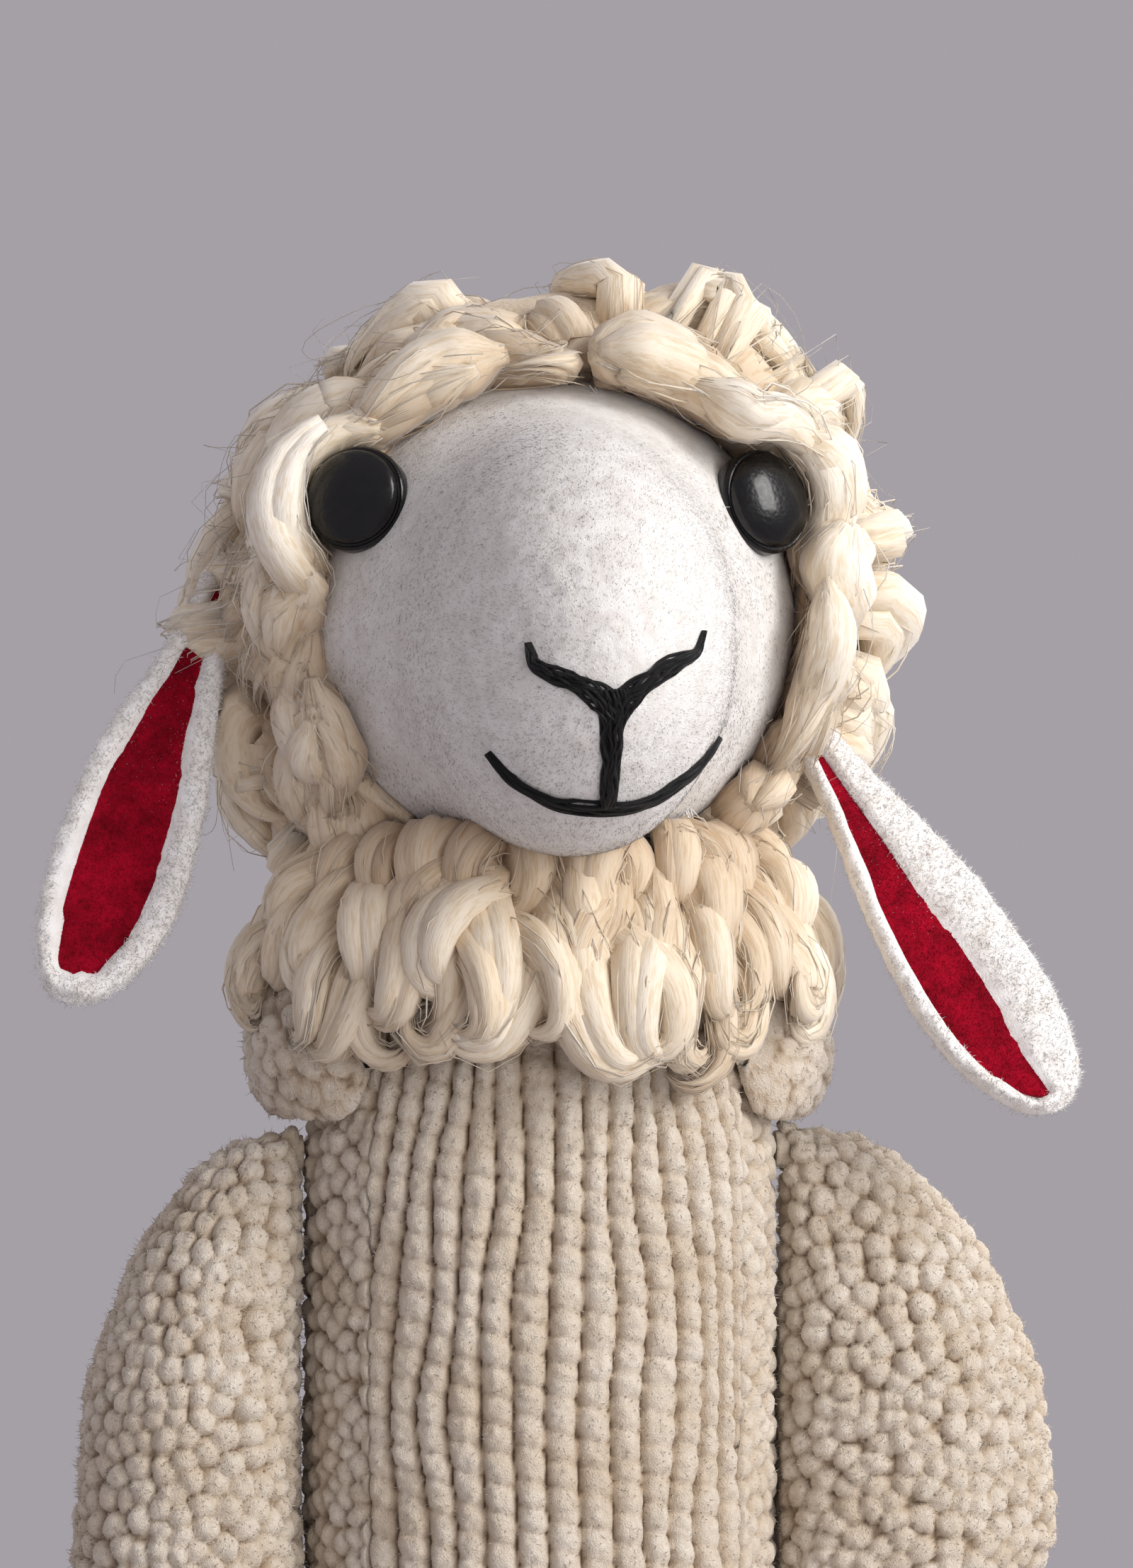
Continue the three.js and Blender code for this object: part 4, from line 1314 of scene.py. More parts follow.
def stitching(name, node, strokes):
    parts = []
    for k, (corners, wide, rise, count) in enumerate(strokes):
        path = smooth_path(corners, 64)
        path = rolled(path[:, 0], path[:, 1])
        t = np.linspace(0, 1, len(path))
        half = np.interp(t, np.linspace(0, 1, len(wide)), wide)
        lines, thick = thread_bundle(path, half, rise, count, 100 + k)
        places, faces, grain = tubes(lines, thick, 7, np.array([0.2, 1, 0.1]), 0.5)
        parts.append((places, faces, {"grain": grain}))
    places, faces, own = joined(parts)
    fitted(shaped(name, places, faces, **own), "head", THREAD, [node])


LIMB = [(-15.6, -6.4), (-15.0, -10.6), (-10.5, -13.4), (-5.8, -15.4), (-2.0, -18.2), (0.2, -22.5)]
stitching(
    "nose_embroidery", "nose_stitching",
    [
        (LIMB, [0.4, 1.4, 1.7, 2.0, 2.7, 2.4], 1.1, 13),
        ([(20.2, -5.4), (18.6, -9.8), (11.4, -12.4), (6.5, -15.4), (2.2, -18.4), (-0.2, -22.5)],
         [0.2, 1.0, 2.0, 2.0, 2.7, 2.4], 1.1, 13),
        ([(0, -16.2), (0.2, -22), (-0.2, -28), (0.2, -39.0)], [3.4, 2.4, 1.7, 1.5], 1.3, 13),
    ],
)
stitching(
    "mouth_embroidery", "mouth_stitching",
    [
        ([(-22.4, -27.6), (-18.4, -33.4), (-10, -38.6), (0, -40.4), (10, -38.8), (20.0, -33.2),
          (26.2, -26.6)],
         [0.3, 1.2, 1.8, 2.3, 2.1, 1.8, 1.2, 0.3], 1.2, 15),
    ],
)


def pocket():
    """The cotton pocket that takes the fingers. It is open below and closed above."""
    r, crown = 27.0, 24.0
    bend = crown - 0.6 * r
    profile = [
        (r, -45), (r, bend), (0.87 * r, bend + 0.3 * r), (0.5 * r, bend + 0.52 * r), (0.02 * r, crown)
    ]
    t = np.linspace(0, 1, len(profile))
    fine = np.linspace(0, 1, 48)
    radius, height = (smoothed(np.interp(fine, t, values), 6) for values in np.array(profile).T)
    columns = 72
    turn = np.linspace(0, 2 * np.pi, columns, endpoint=False)

    def wall(inset):
        out = np.maximum(radius - inset, 0.3)
        up = height - inset * np.linspace(0, 1, len(height))
        crease = 1 + 0.012 * lumps(np.stack([out * 0, out * 0, up], -1), 9, 3)[:, None]
        x = out[:, None] * np.cos(turn) * crease
        y = out[:, None] * np.sin(turn) * NECK_SHARE * crease
        return np.stack([x, y, np.repeat(up[:, None], columns, 1)], -1)

    grid = np.concatenate([wall(0), wall(1.1)[::-1]])
    middle = len(height)
    grid[middle - 1], grid[middle] = grid[middle - 1].mean(0), grid[middle].mean(0)
    outer = np.concatenate([grid[: middle - 1].reshape(-1, 3), grid[middle - 1, :1]])
    inner = np.concatenate([grid[middle, :1], grid[middle + 1:].reshape(-1, 3)])
    places = np.concatenate([outer, inner])
    ring = np.arange(columns)
    top = (middle - 1) * columns
    faces = [
        net(middle - 1, columns, round_columns=True),
        net(middle - 1, columns, round_columns=True, start=top + 2),
        fan(top, ring[::-1] + (middle - 2) * columns)[:, ::-1],
        fan(top + 1, ring + top + 2)[:, ::-1],
    ]
    last = top + 2 + (middle - 2) * columns
    faces.append(np.stack([ring, last + ring, last + np.roll(ring, -1), np.roll(ring, -1)], -1)[:, ::-1])
    made = turned_outwards(shaped("cotton_finger_pocket", places + HEAD, faces))
    fitted(made, "head", COTTON, ["hand_pocket"])


def filling():
    """Fibre filling: one lumpy form, cut where the muzzle's filling meets the ball's."""
    columns = 72
    for name, behind in (("head", True), ("muzzle", False)):
        way = head_directions(np.linspace(0, math.pi, 60)[1:-1], columns)
        reach = head_reach(way) - 3.6
        reach = reach - 0.5 + 0.5 * lumps(way * reach[..., None], 7, 9)
        rows = way * reach[..., None]
        ends = np.array([[0, -1.0, 0], [0, 1.0, 0]])
        ends = ends * (head_reach(ends) - 4)[:, None]
        places = np.concatenate([rows.reshape(-1, 3), ends])
        ring, count = np.arange(columns), len(rows) * columns
        faces = [net(len(rows), columns, round_columns=True)]
        faces += [fan(count, ring[::-1]), fan(count + 1, ring + count - columns)]
        made = shaped(f"{name}_filling", places + HEAD, faces)
        choose(made)
        bpy.ops.object.mode_set(mode="EDIT")
        bpy.ops.mesh.select_all(action="SELECT")
        seam = -0.0377 if behind else -0.038
        bpy.ops.mesh.bisect(
            plane_co=(0, seam, 0), plane_no=(0, 1, 0), use_fill=True,
            clear_inner=behind, clear_outer=not behind,
        )
        bpy.ops.object.mode_set(mode="OBJECT")
        if behind:
            bored(made, 27.5, 90, 241.5, 64, NECK_SHARE)
        fitted(made, "head", FILLING, [f"{name}_stuffing"])


filling()
pocket()

# the pieces that stay as the frame made them
for finish, nodes in (
    (BUTTON, ("left_eye_base", "right_eye_base")),
    (HOOP, ("left_eye_washer", "right_eye_washer", "neck_hoop")),
):
    for node in nodes:
        frame["nodes"][node].data.materials.clear()
        frame["nodes"][node].data.materials.append(finish)

# ---- The ears ------------------------------------------------------------------------------------

EAR_LONG, EAR_HALF, EAR_ROOT = 100.0, 14.5, 5.0
EAR_LEAN = math.radians(18)
EAR_LINE = 260.0  # the ears hang in a slanted line that crosses the head's side at this height
# side, height of the root, room beside the head, splay, white border on the inner and the outer side
EARS = {"left": (1, 241.0, 1.5, 30.0, 1.6, 11.0), "right": (-1, 271.0, 8.5, 21.0, 4.6, 3.4)}


def ear_half_width(down):
    """Half the ear's width at a distance down from its root."""
    t = np.linspace(0, 1, 200)[:, None]
    curves = []
    for corners in (
        [(EAR_ROOT, 0), (EAR_ROOT, 25), (EAR_HALF, 35), (EAR_HALF, 68)],
        [(EAR_HALF, 68), (EAR_HALF, 88), (EAR_HALF / 2, 100), (0, 100)],
    ):
        a, b, c, d = np.array(corners, float)
        curves.append(a * (1 - t) ** 3 + 3 * b * t * (1 - t) ** 2 + 3 * c * t**2 * (1 - t) + d * t**3)
    wide, long = np.concatenate(curves).T
    return np.interp(down, long, wide)


def ear_matrix(side, z, room, splay):
    x = BALL[0] * math.sqrt(1 - ((z - HEAD[2]) / BALL[2]) ** 2) + EAR_ROOT + room
    seat = Matrix.Translation((side * x, (z - EAR_LINE) * math.tan(EAR_LEAN), z))
    lean = Matrix.Rotation(-EAR_LEAN, 4, "X") @ Matrix.Rotation(-side * math.radians(splay), 4, "Y")
    return np.array(seat @ lean)


def hung(places, matrix, side):
    """An ear's own places, a little curled and wavy as the cloth hangs, put on the head."""
    x, y, z = places[..., 0], places[..., 1], places[..., 2]
    down = -z / EAR_LONG
    sway = side * 1.6 * np.sin(2 * np.pi * down) * down
    cup = -1.6 * (x / EAR_HALF) ** 2 * down + 1.8 * np.sin(np.pi * 1.4 * down)
    bent = np.stack([x + sway, y + cup, z], -1)
    return bent @ matrix[:3, :3].T + matrix[:3, 3]


def ear_pieces(name, side, root_z, room, splay, inner_border, outer_border):
    """One ear: its plush leaf and pile, and its velvet lining and pile."""
    matrix = ear_matrix(side, root_z, room, splay)
    half_round = 22
    down = np.concatenate([np.linspace(0.004, 0.8, 84), 1 - 0.2 * np.linspace(1, 0, 36)[1:] ** 2])
    down[-1] = 0.9995
    long = down * EAR_LONG
    half = np.maximum(ear_half_width(long), 0.35)
    s = np.sin(np.linspace(-math.pi / 2, math.pi / 2, half_round + 2))[1:-1]
    back_y = 3.0 * np.sqrt(1 - s**2) ** 0.5
    out_share = side * s  # towards the ear's outer side
    across = half[:, None] * s
    thick = np.minimum(1, half / 5)[:, None]
    high = -long[:, None] * np.ones_like(across)
    back = np.stack([across, back_y * thick, high], -1)
    edge = half[:, None] - np.abs(across)
    tip_room = (EAR_LONG - long)[:, None]
    border = np.where(out_share > 0, outer_border, inner_border) * np.minimum(1, half[:, None] / EAR_HALF + 0.2)
    near = np.minimum(edge, 0.8 * tip_room)
    roll = np.sqrt(np.clip(1 - (2 * near / (border + 2.2) - 1) ** 2, 0, 1)) * (near < border + 2.2)
    front = np.stack([across, (-1.1 - 2.7 * roll * thick) * thick, high], -1)
    grid = np.concatenate([back, front[:, ::-1]], 1)
    out = np.zeros_like(grid)
    out[..., 0] = grid[..., 0] / half[:, None] * 0.6
    out[:, :half_round, 1], out[:, half_round:, 1] = 1, -1
    out = unit(out)
    tufted = 0.5 * lumps(grid, 2.2, 61) + 0.3 * lumps(grid, 1.1, 62)
    grid = grid + out * tufted[..., None] * thick[..., None]
    placed = hung(grid, matrix, side)
    leaf = shaped(f"{name}_ear_sherpa", placed.reshape(-1, 3), capped(*grid.shape[:2]))
    fitted(leaf, f"{name}_ear", SHERPA, [f"{name}_ear_back"])

    rng = np.random.default_rng(31 + side)
    turned = out @ matrix[:3, :3].T
    roots, aims = spots(placed, turned, 17000, rng)
    local = (roots - matrix[:3, 3]) @ matrix[:3, :3]
    edge_room = ear_half_width(-local[:, 2]) - np.abs(local[:, 0])
    wide = np.where(side * local[:, 0] > 0, outer_border, inner_border)
    white = (local[:, 1] > 0) | (edge_room < wide + 0.6) | (local[:, 2] < -EAR_LONG + 5)
    roots, aims = roots[white], aims[white]
    aims = unit(aims + 0.75 * rng.normal(size=aims.shape) + [0, 0, -0.3])
    places, faces = fibres(roots - 0.3 * aims, aims, rng.uniform(0.8, 2.4, len(roots)), 0.1)
    fitted(shaped(f"{name}_ear_pile", places, faces), f"{name}_ear", SHERPA)

    lining_down = np.linspace(0.03, 0.975, 90) * EAR_LONG
    lining_half = ear_half_width(lining_down)
    taper = np.minimum(1, lining_half / EAR_HALF + 0.2)
    close = np.sqrt(np.clip((0.975 * EAR_LONG - lining_down) / 9, 0, 1))
    notch = 2.2 * np.exp(-((lining_down - 88) / 4) ** 2) if side > 0 else 0
    outer = np.maximum(lining_half - outer_border * taper, -0.45 * lining_half)
    if side < 0:
        outer = outer * close
    inner = (lining_half - inner_border * taper - notch) * close
    outer = np.maximum(outer, -inner + 0.8)
    left, right = (-inner, outer) if side > 0 else (-outer, inner)
    s = np.linspace(0, 1, 30)
    x = shared(left[:, None], right[:, None], s)
    dome = np.sqrt(1 - (2 * s - 1) ** 2) * np.ones_like(x)
    z = -lining_down[:, None] * np.ones_like(x)
    front = np.stack([x, -1.5 - 0.9 * dome, z], -1)
    hidden = np.stack([x, -0.9 + 0 * dome, z], -1)
    grid = np.concatenate([front, hidden[:, ::-1]], 1)
    placed_front = hung(front, matrix, side)
    places = hung(grid, matrix, side).reshape(-1, 3)
    velvet = shaped(f"{name}_ear_velvet", places, capped(*grid.shape[:2]))
    fitted(velvet, f"{name}_ear", VELVET, [f"{name}_ear_lining"])
    facing = np.broadcast_to(matrix[:3, :3] @ [0, -1.0, 0], placed_front.shape)
    roots, aims = spots(placed_front, facing, 9000, rng)
    aims = unit(aims + 0.6 * rng.normal(size=aims.shape) + [0, 0, -0.3])
    places, faces = fibres(roots - 0.2 * aims, aims, rng.uniform(0.4, 0.95, len(roots)), 0.1)
    fitted(shaped(f"{name}_velvet_pile", places, faces), f"{name}_ear", VELVET)


for ear_name, sizes in EARS.items():
    ear_pieces(ear_name, *sizes)

# ---- The fleece ----------------------------------------------------------------------------------

COAT = np.array([82.0, 64, 86])  # half sizes of the coat's outer oval
COAT_AT = np.array([0, 5.0, 0])  # its middle, from the head's centre
WINDOW = 50.0  # radius of the opening that frames the face
COAT_BOTTOM = -50.0
CROWN = 25.0  # the crown's locks start above this
LAY = 66.0  # about how far out the locks lie, which turns their length into an angle
LOCK_STEPS, HAIR_STEPS = 24, 11
STRAND_SIDES, HAIR_SIDES = 6, 3
TWIST_START = np.array([0.3, 0.2, 0.9])
TUBE_START = np.array([0.2, 0.9, 0.3])


def ball_reach(way):
    return reach_of(way, np.zeros(3), BALL, 0)


def coat_reach(way):
    """How far the coat reaches: an oval, fuller at the crown's left and flatter at its right."""
    full = np.clip(way @ unit(np.array([0.72, 0.0, 0.7])), 0, 1) ** 4
    flat = np.clip(way @ unit(np.array([-0.66, 0.0, 0.75])), 0, 1) ** 4
    return reach_of(way, COAT_AT, COAT, 0) * (1 + 0.1 * full - 0.1 * flat)


def turned_about(v, axis, angle):
    """Vectors turned about unit axes."""
    c, s = np.cos(angle)[..., None], np.sin(angle)[..., None]
    return v * c + np.cross(axis, v) * s + axis * (axis * v).sum(-1, keepdims=True) * (1 - c)


def lock_lines(start, heading, long, depth, curl, turns, bend, rng):
    """Middle lines of locks that lie over the head, about its centre.

    Each sets off from a direction on a heading, wanders sideways, rises through the coat's depth and curls.
    """
    t = np.linspace(0, 1, LOCK_STEPS)
    way, flow = unit(start), heading
    ways, flows = [], []
    phase = rng.uniform(0, 2 * np.pi, len(start))
    for k in range(LOCK_STEPS):
        flow = unit(flow - (flow * way).sum(-1, keepdims=True) * way)
        ways.append(way)
        flows.append(flow)
        swing = bend * (2.9 * t[k] ** 2 - 0.15) / LOCK_STEPS
        flow = turned_about(flow, way, swing)
        way = unit(way + flow * (long / LAY / LOCK_STEPS)[:, None])
    ways, flows = np.stack(ways, 1), np.stack(flows, 1)
    rise = shared(depth[0][:, None], depth[1][:, None], np.sin(0.5 * np.pi * np.clip(t * 2.2, 0, 1)))
    tuck = shared(0, depth[2][:, None], np.clip(t - 0.6, 0, 1) ** 2 / 0.16)
    near, far = ball_reach(ways) + 1.5, coat_reach(ways) - 3
    flat = np.hypot(ways[..., 0], ways[..., 2]) * near
    lit = 5 * np.clip(ways[..., 0], 0, 1)
    low = 1 - 0.85 * (1 - eased((flat - 48 - lit) / 18)) * (ways[..., 1] < 0)
    middle = ways * shared(near, far, (rise - tuck) * low)[..., None]
    grow = curl[:, None] * np.clip(t * 2.5, 0, 1) * (1 - 0.25 * t)
    spin = phase[:, None] + 2 * np.pi * turns[:, None] * t
    side = np.cross(ways, flows)
    return middle + grow[..., None] * (np.cos(spin)[..., None] * side + 0.7 * np.sin(spin)[..., None] * ways)


def lock_swell(t):
    """How full a lock is along its length: slim at the root, fullest at a third, pointed at the tip."""
    return np.clip(t / 0.2, 0.12, 1) ** 0.6 * np.clip((1 - t) / 0.6, 0.03, 1) ** 0.6


def chance_wave(t, count, slow, fast, rng):
    """A wave along each of count locks, of a chance number of turns and a chance start."""
    turns = rng.uniform(slow, fast, count)[:, None]
    return np.sin(2 * np.pi * (t * turns + rng.uniform(0, 1, count)[:, None]))


def lock_strands(lines, wide, per_lock, rng):
    """Each lock as a twisted bundle of tapering strands: their lines, thicknesses and shades."""
    count, steps, _ = lines.shape
    t = np.linspace(0, 1, steps)
    _, across, over = carried(lines, TWIST_START)
    swell = lock_swell(t)
    made, thick, tone = [], [], []
    twist = rng.uniform(-0.4, 0.4, count)[:, None] * 2 * np.pi * t
    bright = rng.normal(0, 0.05, count)
    for m in range(per_lock):
        angle = twist + 2 * np.pi * m / per_lock + rng.uniform(-0.3, 0.3, count)[:, None]
        out = 0.36 * wide[:, None] * swell * rng.uniform(0.75, 1.2, count)[:, None]
        end = rng.uniform(0.82, 1.0, count)[:, None]
        out = (out * (1 + 0.25 * chance_wave(t, count, 0.8, 1.6, rng)))[..., None]
        made.append(lines + out * (np.cos(angle)[..., None] * across + 0.72 * np.sin(angle)[..., None] * over))
        slim = np.clip((end - t) / 0.35 + 0.06, 0.06, 1) ** 0.7
        thick.append(0.64 * wide[:, None] * swell * rng.uniform(0.75, 1.15, count)[:, None] * slim)
        tone.append(np.broadcast_to((bright + rng.normal(0, 0.04, count))[:, None], (count, steps)))
    return np.concatenate(made), np.concatenate(thick), np.concatenate(tone)


def surface_hairs(lines, wide, per_lock, rng):
    """Single fine strands that run along the outside of each lock."""
    count, steps, _ = lines.shape
    picks = np.linspace(0, steps - 1, HAIR_STEPS).astype(int)
    t = np.linspace(0, 1, steps)
    _, across, over = carried(lines, TWIST_START)
    swell = np.maximum(lock_swell(t), 0.14)
    made = []
    for _ in range(per_lock):
        drift = rng.uniform(-0.35, 0.35, count)[:, None] * 2 * np.pi * t
        angle = rng.uniform(0, 2 * np.pi, count)[:, None] + drift
        out = wide[:, None] * swell * rng.uniform(0.86, 1.12, count)[:, None]
        out = (out * (1 + 0.16 * chance_wave(t, count, 1, 3, rng)))[..., None]
        line = lines + out * (np.cos(angle)[..., None] * across + 0.76 * np.sin(angle)[..., None] * over)
        made.append(line[:, picks])
    return np.concatenate(made)


def clear_of_face(lines, room, eye_room):
    """Keeps wool off the face's opening and off the eyes, by so much room."""
    flat = np.hypot(lines[..., 0], lines[..., 2])
    front = eased((-lines[..., 1] + 4) / 16)
    lit = 3.5 * np.clip(lines[..., 0] / np.maximum(flat, 1), 0, 1)
    push = np.maximum(WINDOW + lit + room - flat, 0) * front
    lines = lines.copy()
    lines[..., 0] += push * lines[..., 0] / np.maximum(flat, 1)
    lines[..., 2] += push * lines[..., 2] / np.maximum(flat, 1)
    for side in (1, -1):
        place = np.array(eye_matrix(side))
        axis = unit(0.35 * place[:3, 2] + np.array([0.08, -0.65, 0]))
        away = lines - (place[:3, 3] - HEAD)
        ahead = (away * axis).sum(-1)
        out = away - ahead[..., None] * axis
        far = np.linalg.norm(out, axis=-1)
        push = np.maximum(12.4 + eye_room - far, 0) * eased((ahead + 8) / 8)
        lines = lines + out / np.maximum(far, 1e-6)[..., None] * push[..., None]
    return lines


def wool_piece(lines, wide, per_lock, seed, on_head, hairs):
    """A group of locks, strands and surface hairs, as one piece.

    On the head its colour carries painted shade, darker the deeper it lies in the coat, and it is kept off the
    face.
    """
    rng = np.random.default_rng(seed)
    strand_lines, thick, tone = lock_strands(lines, wide, per_lock, rng)
    hair_lines = surface_hairs(lines, wide, hairs, rng)
    if on_head:
        strand_lines = clear_of_face(strand_lines, thick - 1.5, thick)
        hair_lines = clear_of_face(hair_lines, np.full((len(hair_lines), 1), 0.2 - 1.5), 0.2)
    taper = np.sin(np.linspace(0.25, math.pi - 0.12, HAIR_STEPS))
    hair_thick = rng.uniform(0.09, 0.25, (len(hair_lines), 1)) * taper
    places, faces, grain = tubes(strand_lines, thick, STRAND_SIDES, TUBE_START, 0.06)
    hair_places, hair_faces, hair_grain = tubes(hair_lines, hair_thick, HAIR_SIDES, TUBE_START, 0.06)
    body_tone = np.repeat(tone.reshape(-1), STRAND_SIDES)
    hair_tone = 0.12 + np.repeat(rng.normal(0, 0.07, len(hair_lines)), HAIR_STEPS * HAIR_SIDES)
    places, faces, own = joined([
        (places, faces, {"grain": grain, "tone": body_tone}),
        (hair_places, hair_faces, {"grain": hair_grain * 0.3, "tone": hair_tone}),
    ])
    depth = 0.72
    if on_head:
        way = unit(places)
        near, far = ball_reach(way), coat_reach(way)
        depth = np.clip((np.linalg.norm(places, axis=-1) - near) / (far - near), 0, 1.1)
    # painted shade: the tone falls the deeper the wool lies in the coat; off the head a fixed depth of 0.72 is
    # used
    own["tone"] = own["tone"] - 0.03 + 0.78 * depth
    return places, faces, own


def scattered(count, rng):
    """Directions spread evenly all round, a little jostled."""
    k = np.arange(count) + 0.5
    z = 1 - 2 * k / count
    turn = np.pi * (1 + 5**0.5) * k
    flat = np.sqrt(1 - z * z)
    ways = np.stack([flat * np.cos(turn), flat * np.sin(turn), z], -1)
    return unit(ways + 0.07 * rng.normal(size=ways.shape))


def coat_locks(count, seed, deep, size, length):
    """Locks all over the head outside the face's opening, with where each starts."""
    rng = np.random.default_rng(seed)
    ways = scattered(count, rng)
    at = ways * coat_reach(ways)[:, None]
    flat = np.hypot(at[:, 0], at[:, 2])
    keep = ((at[:, 1] > 0) | (flat > WINDOW + 4)) & (at[:, 2] > COAT_BOTTOM + 2)
    under = (np.hypot(at[:, 0], at[:, 1]) < 34) & (at[:, 2] < 0)
    ways = ways[keep & ~under]
    count = len(ways)
    outwards = ways * [1, 0, 1]
    crown = eased((ways[:, 2] - 0.3) / 0.4)[:, None]
    front = eased((-ways[:, 1] + 0.1) / 0.5)[:, None]
    heading = unit(outwards) * 0.55 * front + np.array([0, 0.55, 0]) * (1 - 0.4 * crown)
    heading = heading + np.array([0, 0, -0.85]) * (1 - crown) + crown * np.sign(ways[:, :1]) * [0.5, 0, 0]
    heading = heading + 0.5 * rng.normal(size=heading.shape)
    heading = heading - (heading * ways).sum(-1, keepdims=True) * ways
    long = rng.uniform(*length, count)
    limits = ((deep[0], deep[0] + 0.15), (deep[1], deep[1] + 0.2), (0, 0.4))
    depth = [rng.uniform(low, high, count) for low, high in limits]
    curl = rng.uniform(1.5, 4.5, count)
    turns = rng.uniform(0.6, 1.25, count) * rng.choice([-1, 1], count)
    bend = rng.uniform(1.2, 4.0, count) * rng.choice([-1, 1], count)
    lines = lock_lines(ways, unit(heading), long, depth, curl, turns, bend, rng)
    wide = rng.uniform(*size, count)
    inside = np.hypot(lines[..., 0], lines[..., 2]) + 1e3 * (lines[..., 1] > 0)
    chin = (lines[..., 2] < -38) & (np.abs(lines[..., 0]) < 34) & (lines[..., 1] < -8)
    kept = (inside.min(1) > WINDOW - 12) & ~chin.any(1)
    lines, wide, count = lines[kept], wide[kept], int(kept.sum())
    room = (0.55 * wide + 1.6 * rng.normal(size=count))[:, None]
    return clear_of_face(lines, room, 0.6 * wide[:, None]), wide


def coat_groups(lines):
    """Which piece of the fleece each lock belongs to, by its middle."""
    middle = lines[:, lines.shape[1] // 3]
    slot = (middle[:, 2] + HEAD[2] - EAR_LINE) * math.tan(EAR_LEAN)  # where the ears hang
    crown = middle[:, 2] > CROWN
    back = ~crown & (middle[:, 1] > slot)
    left = ~crown & ~back & (middle[:, 0] > 0)
    return {"crown": crown, "back": back, "left": left, "right": ~crown & ~back & ~left}


COAT_STRANDS = 3
coat = [
    coat_locks(170, 51, (0.0, 0.42), (8.0, 11.0), (40, 60)),
    coat_locks(250, 52, (0.1, 0.66), (5.4, 8.6), (38, 64)),
]
for group, hairs in (("crown", 14), ("back", 5), ("left", 14), ("right", 14)):
    parts = []
    for layer, (lines, wide) in enumerate(coat):
        chosen = coat_groups(lines)[group]
        parts.append(wool_piece(lines[chosen], wide[chosen], COAT_STRANDS, 60 + layer, True, hairs))
    places, faces, own = joined(parts)
    piece = shaped(f"{group}_locks", places + HEAD, faces, **own)
    fitted(piece, "head", WOOL, [f"fleece_{group}"])


def wool_ground():
    """The felted ground of the coat, which the locks grow from."""
    round_steps = 120
    phi = np.linspace(0, 2 * np.pi, round_steps, endpoint=False)
    start = math.pi / 2 - 0.36 + 0.12 * np.clip(np.cos(phi), 0, 1)
    turn = shared(start, math.pi, np.linspace(0, 1, 60)[:-1, None])
    way = head_directions(turn, round_steps)
    near, far = ball_reach(way), coat_reach(way)
    lift = 0.1 + 0.45 * eased((turn - start) / 0.5)
    reach = shared(near + 1, far, lift) + 2.0 * lumps(way * far[..., None], 9, 13)
    outer = way * reach[..., None]
    inner = (way * (near + 0.4)[..., None])[::-1]
    for rows in (outer, inner):
        rows[..., 2] = np.maximum(rows[..., 2], COAT_BOTTOM)
    grid = np.concatenate([outer, inner])
    pole_out, pole_in = np.array([[0, 62.0, 0]]), np.array([[0, 54.0, 0]])
    count = len(outer) * round_steps
    ring = np.arange(round_steps)
    places = np.concatenate([grid.reshape(-1, 3), pole_out, pole_in])
    faces = [
        net(len(outer), round_steps, round_columns=True),
        net(len(inner), round_steps, round_columns=True, start=count),
        fan(2 * count, ring + count - round_steps),
        fan(2 * count + 1, ring[::-1] + count),
    ]
    last = 2 * count - round_steps
    faces.append(np.stack([ring, last + ring, last + np.roll(ring, -1), np.roll(ring, -1)], -1)[:, ::-1])
    grain = np.stack([places[:, 0] * 0.5, places[:, 1] * 0.5, places[:, 2] * 0.08], -1)
    # painted shade: a fixed tone of 0.35, darker than the outer locks, as the deep coat would be shaded
    made = shaped("wool_ground", places + HEAD, faces, grain=grain, tone=np.full(len(places), 0.35))
    bored(turned_outwards(made), 35.2, 100, 205, 72)
    fitted(made, "head", WOOL)


wool_ground()


RUFF_TOP = 201


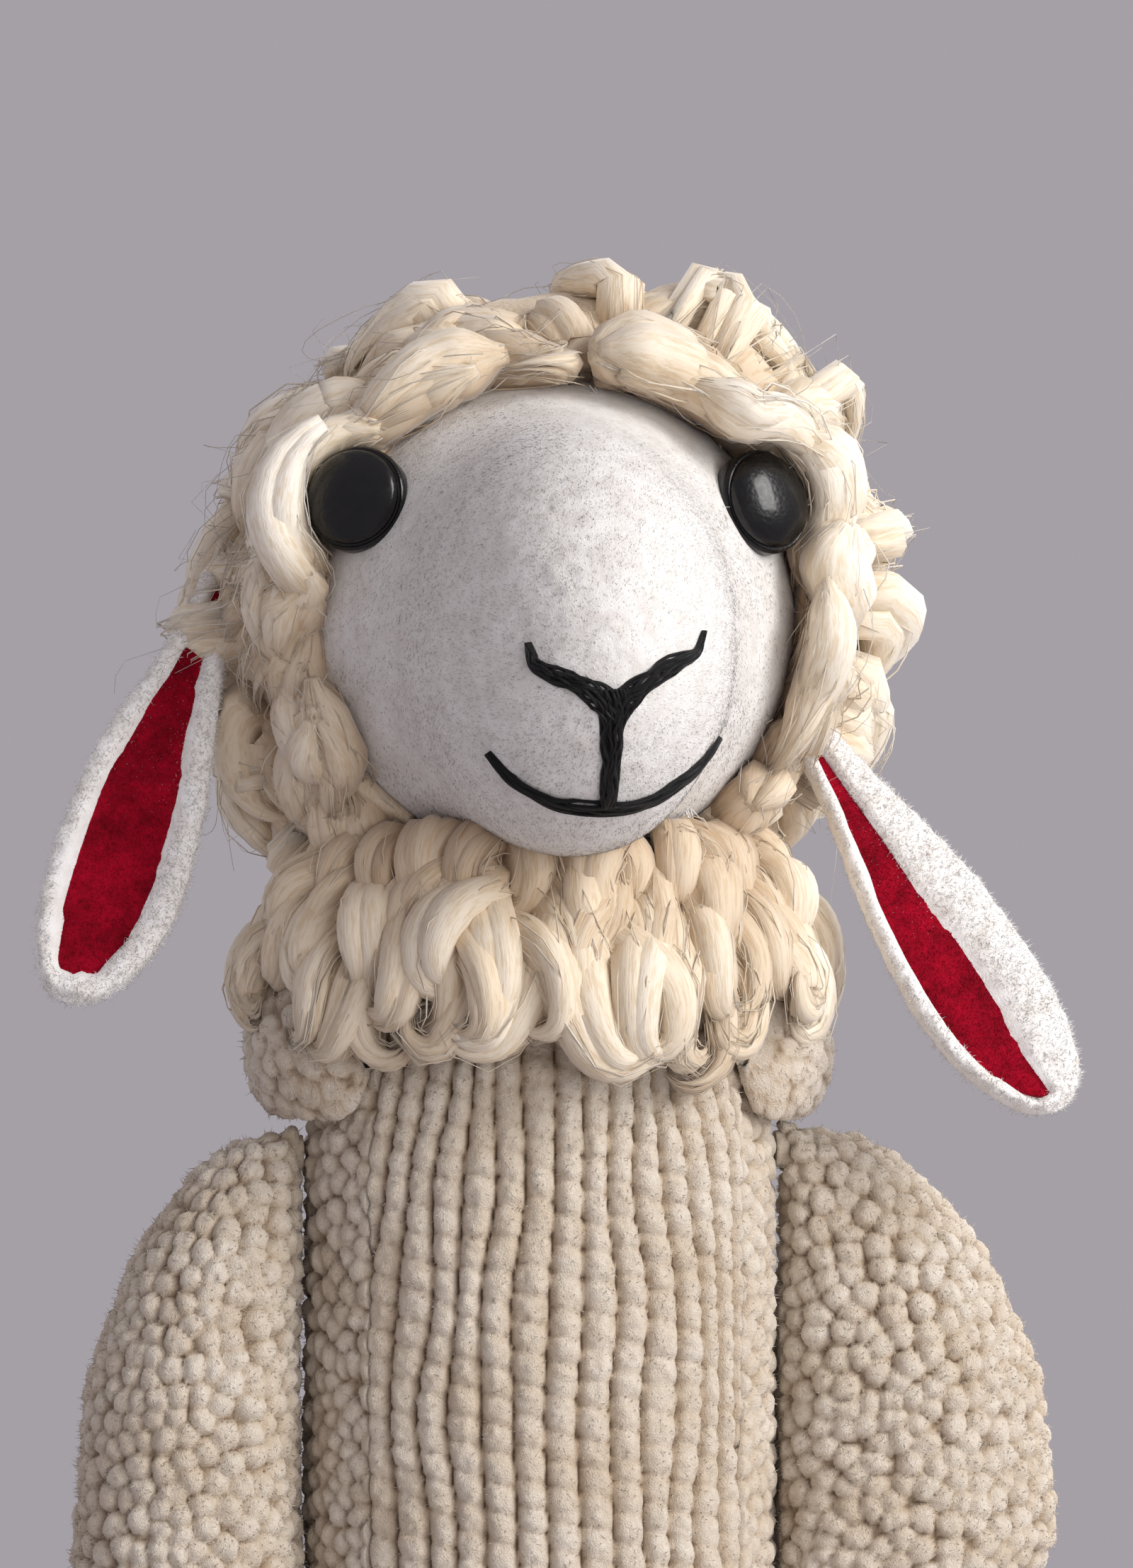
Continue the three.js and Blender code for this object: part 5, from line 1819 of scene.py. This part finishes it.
def ruff():
    """The ruff: hooked locks that hang round the neck, longest over the chest."""
    rng = np.random.default_rng(81)
    parts = []
    for layer, (count, rise, reach, drop_share) in enumerate(
        [(44, 0, 0.98, 0.9), (42, 5, 0.93, 0.65), (38, 10, 0.87, 0.4), (30, 16, 0.8, 0.1)]
    ):
        turn = np.linspace(0, 2 * np.pi, count, endpoint=False) + rng.uniform(-0.06, 0.06, count)
        steps = 26
        t = np.linspace(0, 1, steps)
        front = eased((-np.sin(turn) - 0.15) / 0.6)
        out = np.stack([np.cos(turn), NECK_SHARE * np.sin(turn), 0 * turn], -1)
        aside = np.stack([-np.sin(turn), np.cos(turn), 0 * turn], -1)
        start = 36 + rng.uniform(-2, 2, count)
        edge = shared(63.0, 57.0, front) * reach + rng.uniform(-3, 3, count)
        drop = (shared(17, 34, front) + rng.uniform(-5, 5, count)) * drop_share + 4
        flow = np.sin(0.5 * np.pi * np.clip(t * 1.7, 0, 1))
        radius = shared(start[:, None], edge[:, None], flow) - 4 * np.clip(t - 0.55, 0, 1) * front[:, None]
        hook = rng.choice([-1, 1], count)[:, None] * rng.uniform(2.6, 5.0, count)[:, None]
        lean = rng.uniform(-0.6, 0.6, count)[:, None] - 0.3 * hook * np.sin(np.pi * t) + hook * t**1.8
        length = (0.9 * drop + 16)[:, None] / steps
        curl = np.cumsum(np.sin(lean) * length, 1)
        high = RUFF_TOP + rise - np.cumsum(np.cos(lean) * length, 1) + 4 * np.sin(np.pi * np.clip(t * 1.6, 0, 1))
        lines = out[:, None] * radius[..., None] + aside[:, None] * curl[..., None]
        lines[..., 2] = high
        wide = rng.uniform(5.2, 8.0, count)
        places, faces, own = wool_piece(lines, wide, 4, 90 + layer, False, 12)
        flat = np.hypot(places[:, 0], places[:, 1] / NECK_SHARE)
        # painted shade: the ruff's tone falls towards the neck, deep under its outer locks
        own["tone"] = own["tone"] - 0.54 + 0.46 * np.clip((flat - 38) / 24, 0, 1)
        parts.append((places, faces, own))
    places, faces, own = joined(parts)
    fitted(shaped("ruff_locks", places, faces, **own), "neck", WOOL, ["fleece_ruff"])


ruff()


def loose_hairs(lines, per_lock, seed):
    """Single fibres that stray from the locks."""
    rng = np.random.default_rng(seed)
    steps = 12
    picks = np.linspace(0, lines.shape[1] - 1, steps).astype(int)
    base = np.repeat(lines[:, picks], per_lock, 0)
    count = len(base)
    t = np.linspace(0, 1, steps)[None, :, None]
    far = rng.choice([0.45, 0.6, 1.0], (count, 1, 1))
    drift = rng.normal(size=(count, 1, 3)) * 5 * far
    sway = rng.normal(size=(count, 1, 3)) * 2.5
    turns = rng.uniform(0.6, 1.8, (count, 1, 1))
    wave = np.sin(2 * np.pi * (t * turns + rng.uniform(0, 1, (count, 1, 1))))
    out = unit(base[:, -1:]) * far
    line = base + drift * (0.3 + t) + sway * wave + out * rng.uniform(0, 5, (count, 1, 1)) * t**2
    thick = np.tile(0.15 * (1 - 0.7 * np.linspace(0, 1, steps)), (count, 1))
    places, faces, grain = tubes(line, thick, HAIR_SIDES, TUBE_START, 0.06)
    return places, faces, {"grain": grain, "tone": np.full(len(places), 0.9)}


places, faces, own = joined([loose_hairs(lines, 5, 95 + k) for k, (lines, _) in enumerate(coat)])
piece = shaped("loose_hairs", places + HEAD, faces, **own)
fitted(piece, "head", WOOL)

# ---- Floor ---------------------------------------------------------------------------------------


def floor():
    bpy.ops.object.select_all(action="DESELECT")
    bpy.ops.mesh.primitive_circle_add(
        vertices=128, radius=0.34, fill_type="NGON", location=(0, 0, -0.0004)
    )
    bpy.ops.object.transform_apply()
    made = bpy.context.object
    made.name = made.data.name = "floor"
    ground = Finish("pale_floor", Roughness=0.8, Specular_IOR_Level=0.2)
    cloudy = ground.effect(
        MOTTLING, Place=ground.place(), Size=9, Dark=paint(176, 172, 177), Light=paint(184, 180, 185)
    )
    ground.colour(cloudy["Colour"])
    made.data.materials.append(ground.material)
    made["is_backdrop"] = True


floor()

bpy.context.view_layer.update()
sizes = [[list(corner) for corner in box] for box in (cad_box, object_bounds())]
